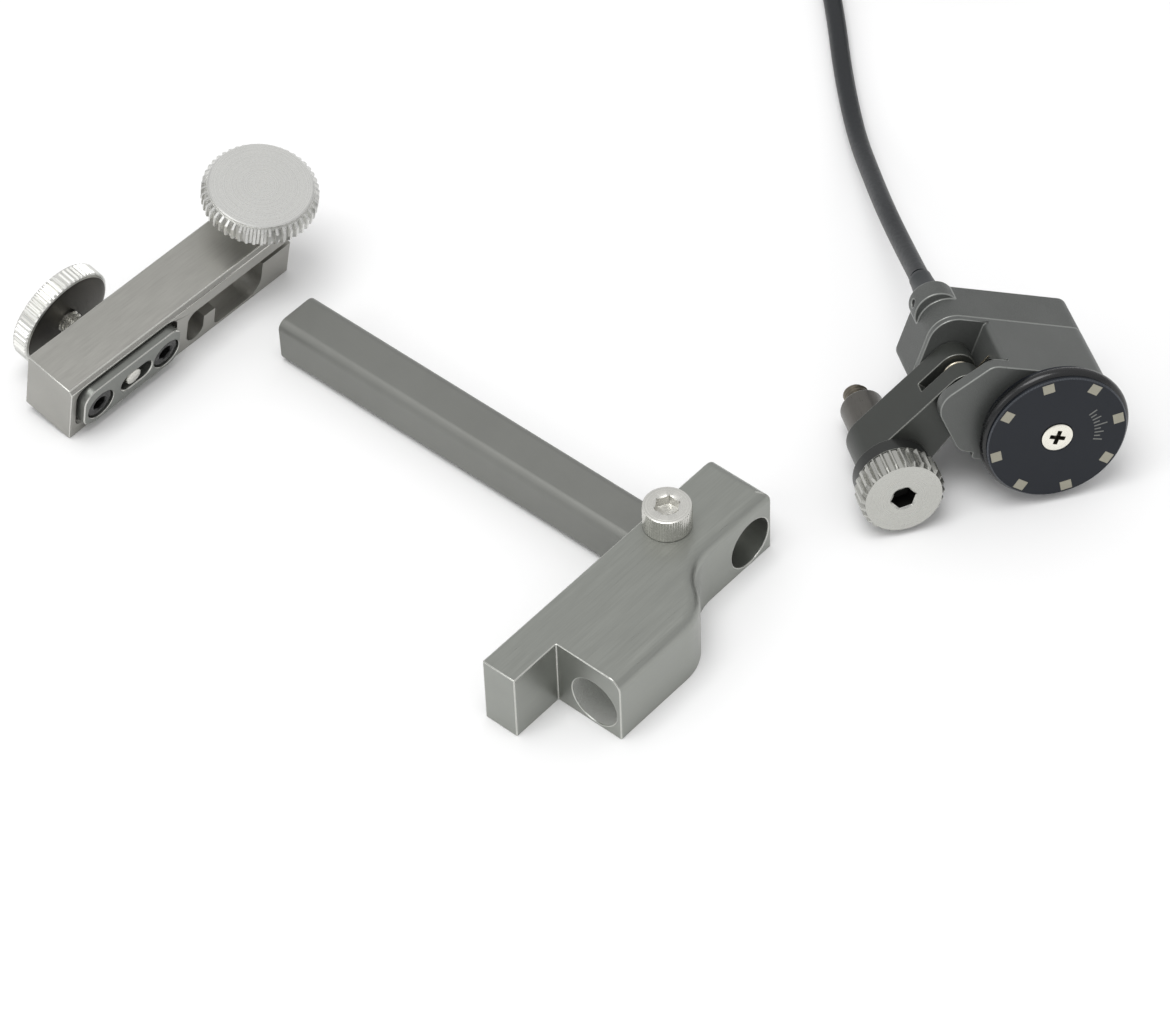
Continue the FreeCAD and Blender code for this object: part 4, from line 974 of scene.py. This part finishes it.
# %% The plug
plug_way = (PLUG_MOUTH - TAIL_POINTS[-2])
plug_way.z = 0
plug_way.normalize()
PLUG = Matrix.Translation(PLUG_MOUTH) @ plug_way.to_track_quat("Z", "Y").to_matrix().to_4x4()
plug_black = finish("plug black", PLUG, shade(38, 40, 42), 0.42, grain=5.0, drift=0.12, bump=0.01)
plug_nickel = finish("plug nickel", PLUG, shade(206, 206, 202), 0.25, metal=0.95, grain=5.0, bump=0.004)
plug_gold = finish("pin gold", PLUG, shade(214, 178, 104), 0.25, metal=1.0, grain=5.0, bump=0.002)
SLEEVE = [(0.0, 0.02), (1.35, 0.02), (1.5, 0.2), (1.66, 1.4), (1.5, 1.55), (1.5, 1.85), (1.78, 2.0), (2.0, 3.0),
          (1.84, 3.15), (1.84, 3.45), (2.12, 3.6), (2.36, 5.0), (2.58, 6.96), (0.0, 6.96)]
bm = turned(SLEEVE, 72)
put(bm, PLUG, (0, 0, 0))
plug_sleeve = settle(bm, "plug_sleeve", "sensor_head", [plug_black], ("plug_boot",), 40)
GRIP_TEETH = 36
GRIP = [(0.0, 7.0), (2.9, 7.0), (3.2, 7.3), (3.2, 9.2), (3.05, 9.4), (3.05, 9.6), (3.2, 9.8), (3.2, 15.7),
        (2.95, 15.97), (0.0, 15.97)]
bm = turned(GRIP, GRIP_TEETH * 4)
knurl(bm, 3.2, GRIP_TEETH, 0.16, 9.75, 15.75)
put(bm, PLUG, (0, 0, 0))
plug_grip = settle(bm, "plug_grip", "sensor_head", [plug_black], ("plug_shell",), 30)
COLLAR = [(0.0, 16.0), (3.35, 16.0), (3.5, 16.15), (3.5, 17.6), (3.3, 17.8), (3.3, 18.2), (3.5, 18.4),
          (3.5, 22.7), (3.3, 22.98), (2.95, 22.98), (2.8, 22.8), (2.8, 17.0), (0.0, 17.0)]
bm = turned(COLLAR, 120)
put(bm, PLUG, (0, 0, 0))
plug_collar = settle(bm, "plug_collar_turned", "sensor_head", [plug_nickel], ("plug_collar",), 30)
plug_pins = dressed("plug_pins", "sensor_head", [plug_gold], 0.05)

# %% [markdown]
# Small inner pieces keep the frame's shape. They still get a proper finish, because the head is
# open at its pocket and its bearings can be seen from below.

# %% Inner pieces
bearing_steel = finish("bearing steel", HEAD, shade(196, 196, 194), 0.26, metal=0.95, grain=5.0, bump=0.003)
spring_steel = finish("spring steel", HEAD, shade(190, 182, 165), 0.26, metal=0.95, grain=5.0, bump=0.003)
board_green = finish("board green", HEAD, shade(28, 92, 58), 0.4, grain=3.0, drift=0.2, bump=0.01)
chip_black = finish("chip black", HEAD, shade(28, 28, 30), 0.5, grain=6.0, bump=0.006)
SPRING_X, SPRING_Y = -10.1, 1.55
COIL, WIRE, SPRING_PITCH, SPRING_TURNS = 1.5, 0.19, 0.4, 2
SPRING_LOW = -8.2

bm = bmesh.new()
bmesh.ops.create_circle(bm, cap_ends=True, radius=WIRE, segments=12,
                        matrix=Matrix.Translation((COIL, 0, SPRING_LOW)) @ turned_by(90, "X"))
SPIN_STEPS = 40 * SPRING_TURNS
bmesh.ops.spin(
    bm, geom=bm.verts[:] + bm.edges[:] + bm.faces[:], cent=(0, 0, 0), axis=(0, 0, 1),
    dvec=(0, 0, SPRING_PITCH / 40), angle=2 * math.pi * SPRING_TURNS, steps=SPIN_STEPS, use_merge=False,
    use_normal_flip=False, use_duplicate=False,
)
bmesh.ops.translate(bm, vec=(SPRING_X, SPRING_Y, 0), verts=bm.verts)
LEG_START, LEG_END = Vector((-8.05, 1.9, -8.3)), Vector((-7.72, 4.85, -7.27))
leg_way = LEG_END - LEG_START
leg = Matrix.Translation((LEG_START + LEG_END) / 2) @ leg_way.to_track_quat("Z", "Y").to_matrix().to_4x4()
bmesh.ops.create_cone(bm, cap_ends=True, segments=12, radius1=0.1, radius2=0.1, depth=leg_way.length, matrix=leg)
bmesh.ops.recalc_face_normals(bm, faces=bm.faces)
put(bm, HEAD, (0, 0, 0))
settle(bm, "torsion_spring_wire", "sensor_head", [spring_steel], ("torsion_spring",), 60)
PLAIN = {
    "front_bearing": bearing_steel, "rear_bearing": bearing_steel, "bearing_spacer": bearing_steel,
    "wheel_axle": bearing_steel, "axle_clip": spring_steel, "pivot_pin": bearing_steel,
    "encoder_magnet": bearing_steel, "circuit_board": board_green, "sensor_chip": chip_black,
    "grub_screw": black_screw, "housing_screws": black_screw,
}
for node, material in PLAIN.items():
    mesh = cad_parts[node].data
    mesh.materials.clear()
    mesh.materials.append(material)

# %% [markdown]
# The stage is a pale floor, a wide soft light above, a weaker one from the left front and an even
# white sky. It is not part of the object.

# %% Floor and light
floor_mesh = bpy.data.meshes.new("floor")
bm = bmesh.new()
bmesh.ops.create_grid(bm, x_segments=1, y_segments=1, size=3.0)
bm.to_mesh(floor_mesh)
bm.free()
floor = bpy.data.objects.new("floor", floor_mesh)
bpy.context.scene.collection.objects.link(floor)
floor_white = bpy.data.materials.new("floor white")
floor_white.use_nodes = True
floor_white.node_tree.nodes["Principled BSDF"].inputs["Base Color"].default_value = (0.9, 0.9, 0.9, 1)
floor_white.node_tree.nodes["Principled BSDF"].inputs["Roughness"].default_value = 0.7
floor_mesh.materials.append(floor_white)


def soft_light(name, place, target, size, power):
    data = bpy.data.lights.new(name, "AREA")
    data.shape = "SQUARE"
    data.size = size
    data.energy = power
    lamp = bpy.data.objects.new(name, data)
    bpy.context.scene.collection.objects.link(lamp)
    lamp.location = place
    lamp.rotation_euler = (Vector(target) - Vector(place)).to_track_quat("-Z", "Y").to_euler()
    return lamp


soft_light("overhead", (-0.1, -0.12, 0.8), (0, 0, 0), 0.5, 3.3)
soft_light("left front", (-0.6, -0.35, 0.45), (0, 0, 0), 0.35, 0.5)
world = bpy.data.worlds.new("sky")
world.use_nodes = True
sky = world.node_tree
sky_way = sky.nodes.new("ShaderNodeTexCoord")
sky_parts = sky.nodes.new("ShaderNodeSeparateXYZ")
sky_ramp = sky.nodes.new("ShaderNodeValToRGB")
sky_ramp.color_ramp.elements[0].position = 0.02
sky_ramp.color_ramp.elements[0].color = (0.66, 0.66, 0.67, 1)
sky_ramp.color_ramp.elements[1].position = 0.75
sky_ramp.color_ramp.elements[1].color = (0.8, 0.8, 0.8, 1)
join_up(
    sky,
    (sky_way.outputs["Generated"], sky_parts.inputs["Vector"]),
    (sky_parts.outputs["Z"], sky_ramp.inputs["Fac"]),
    (sky_ramp.outputs["Color"], sky.nodes["Background"].inputs["Color"]),
)
sky.nodes["Background"].inputs["Strength"].default_value = 0.95
bpy.context.scene.world = world
bpy.context.scene.view_settings.view_transform = "Standard"
print("stage set")
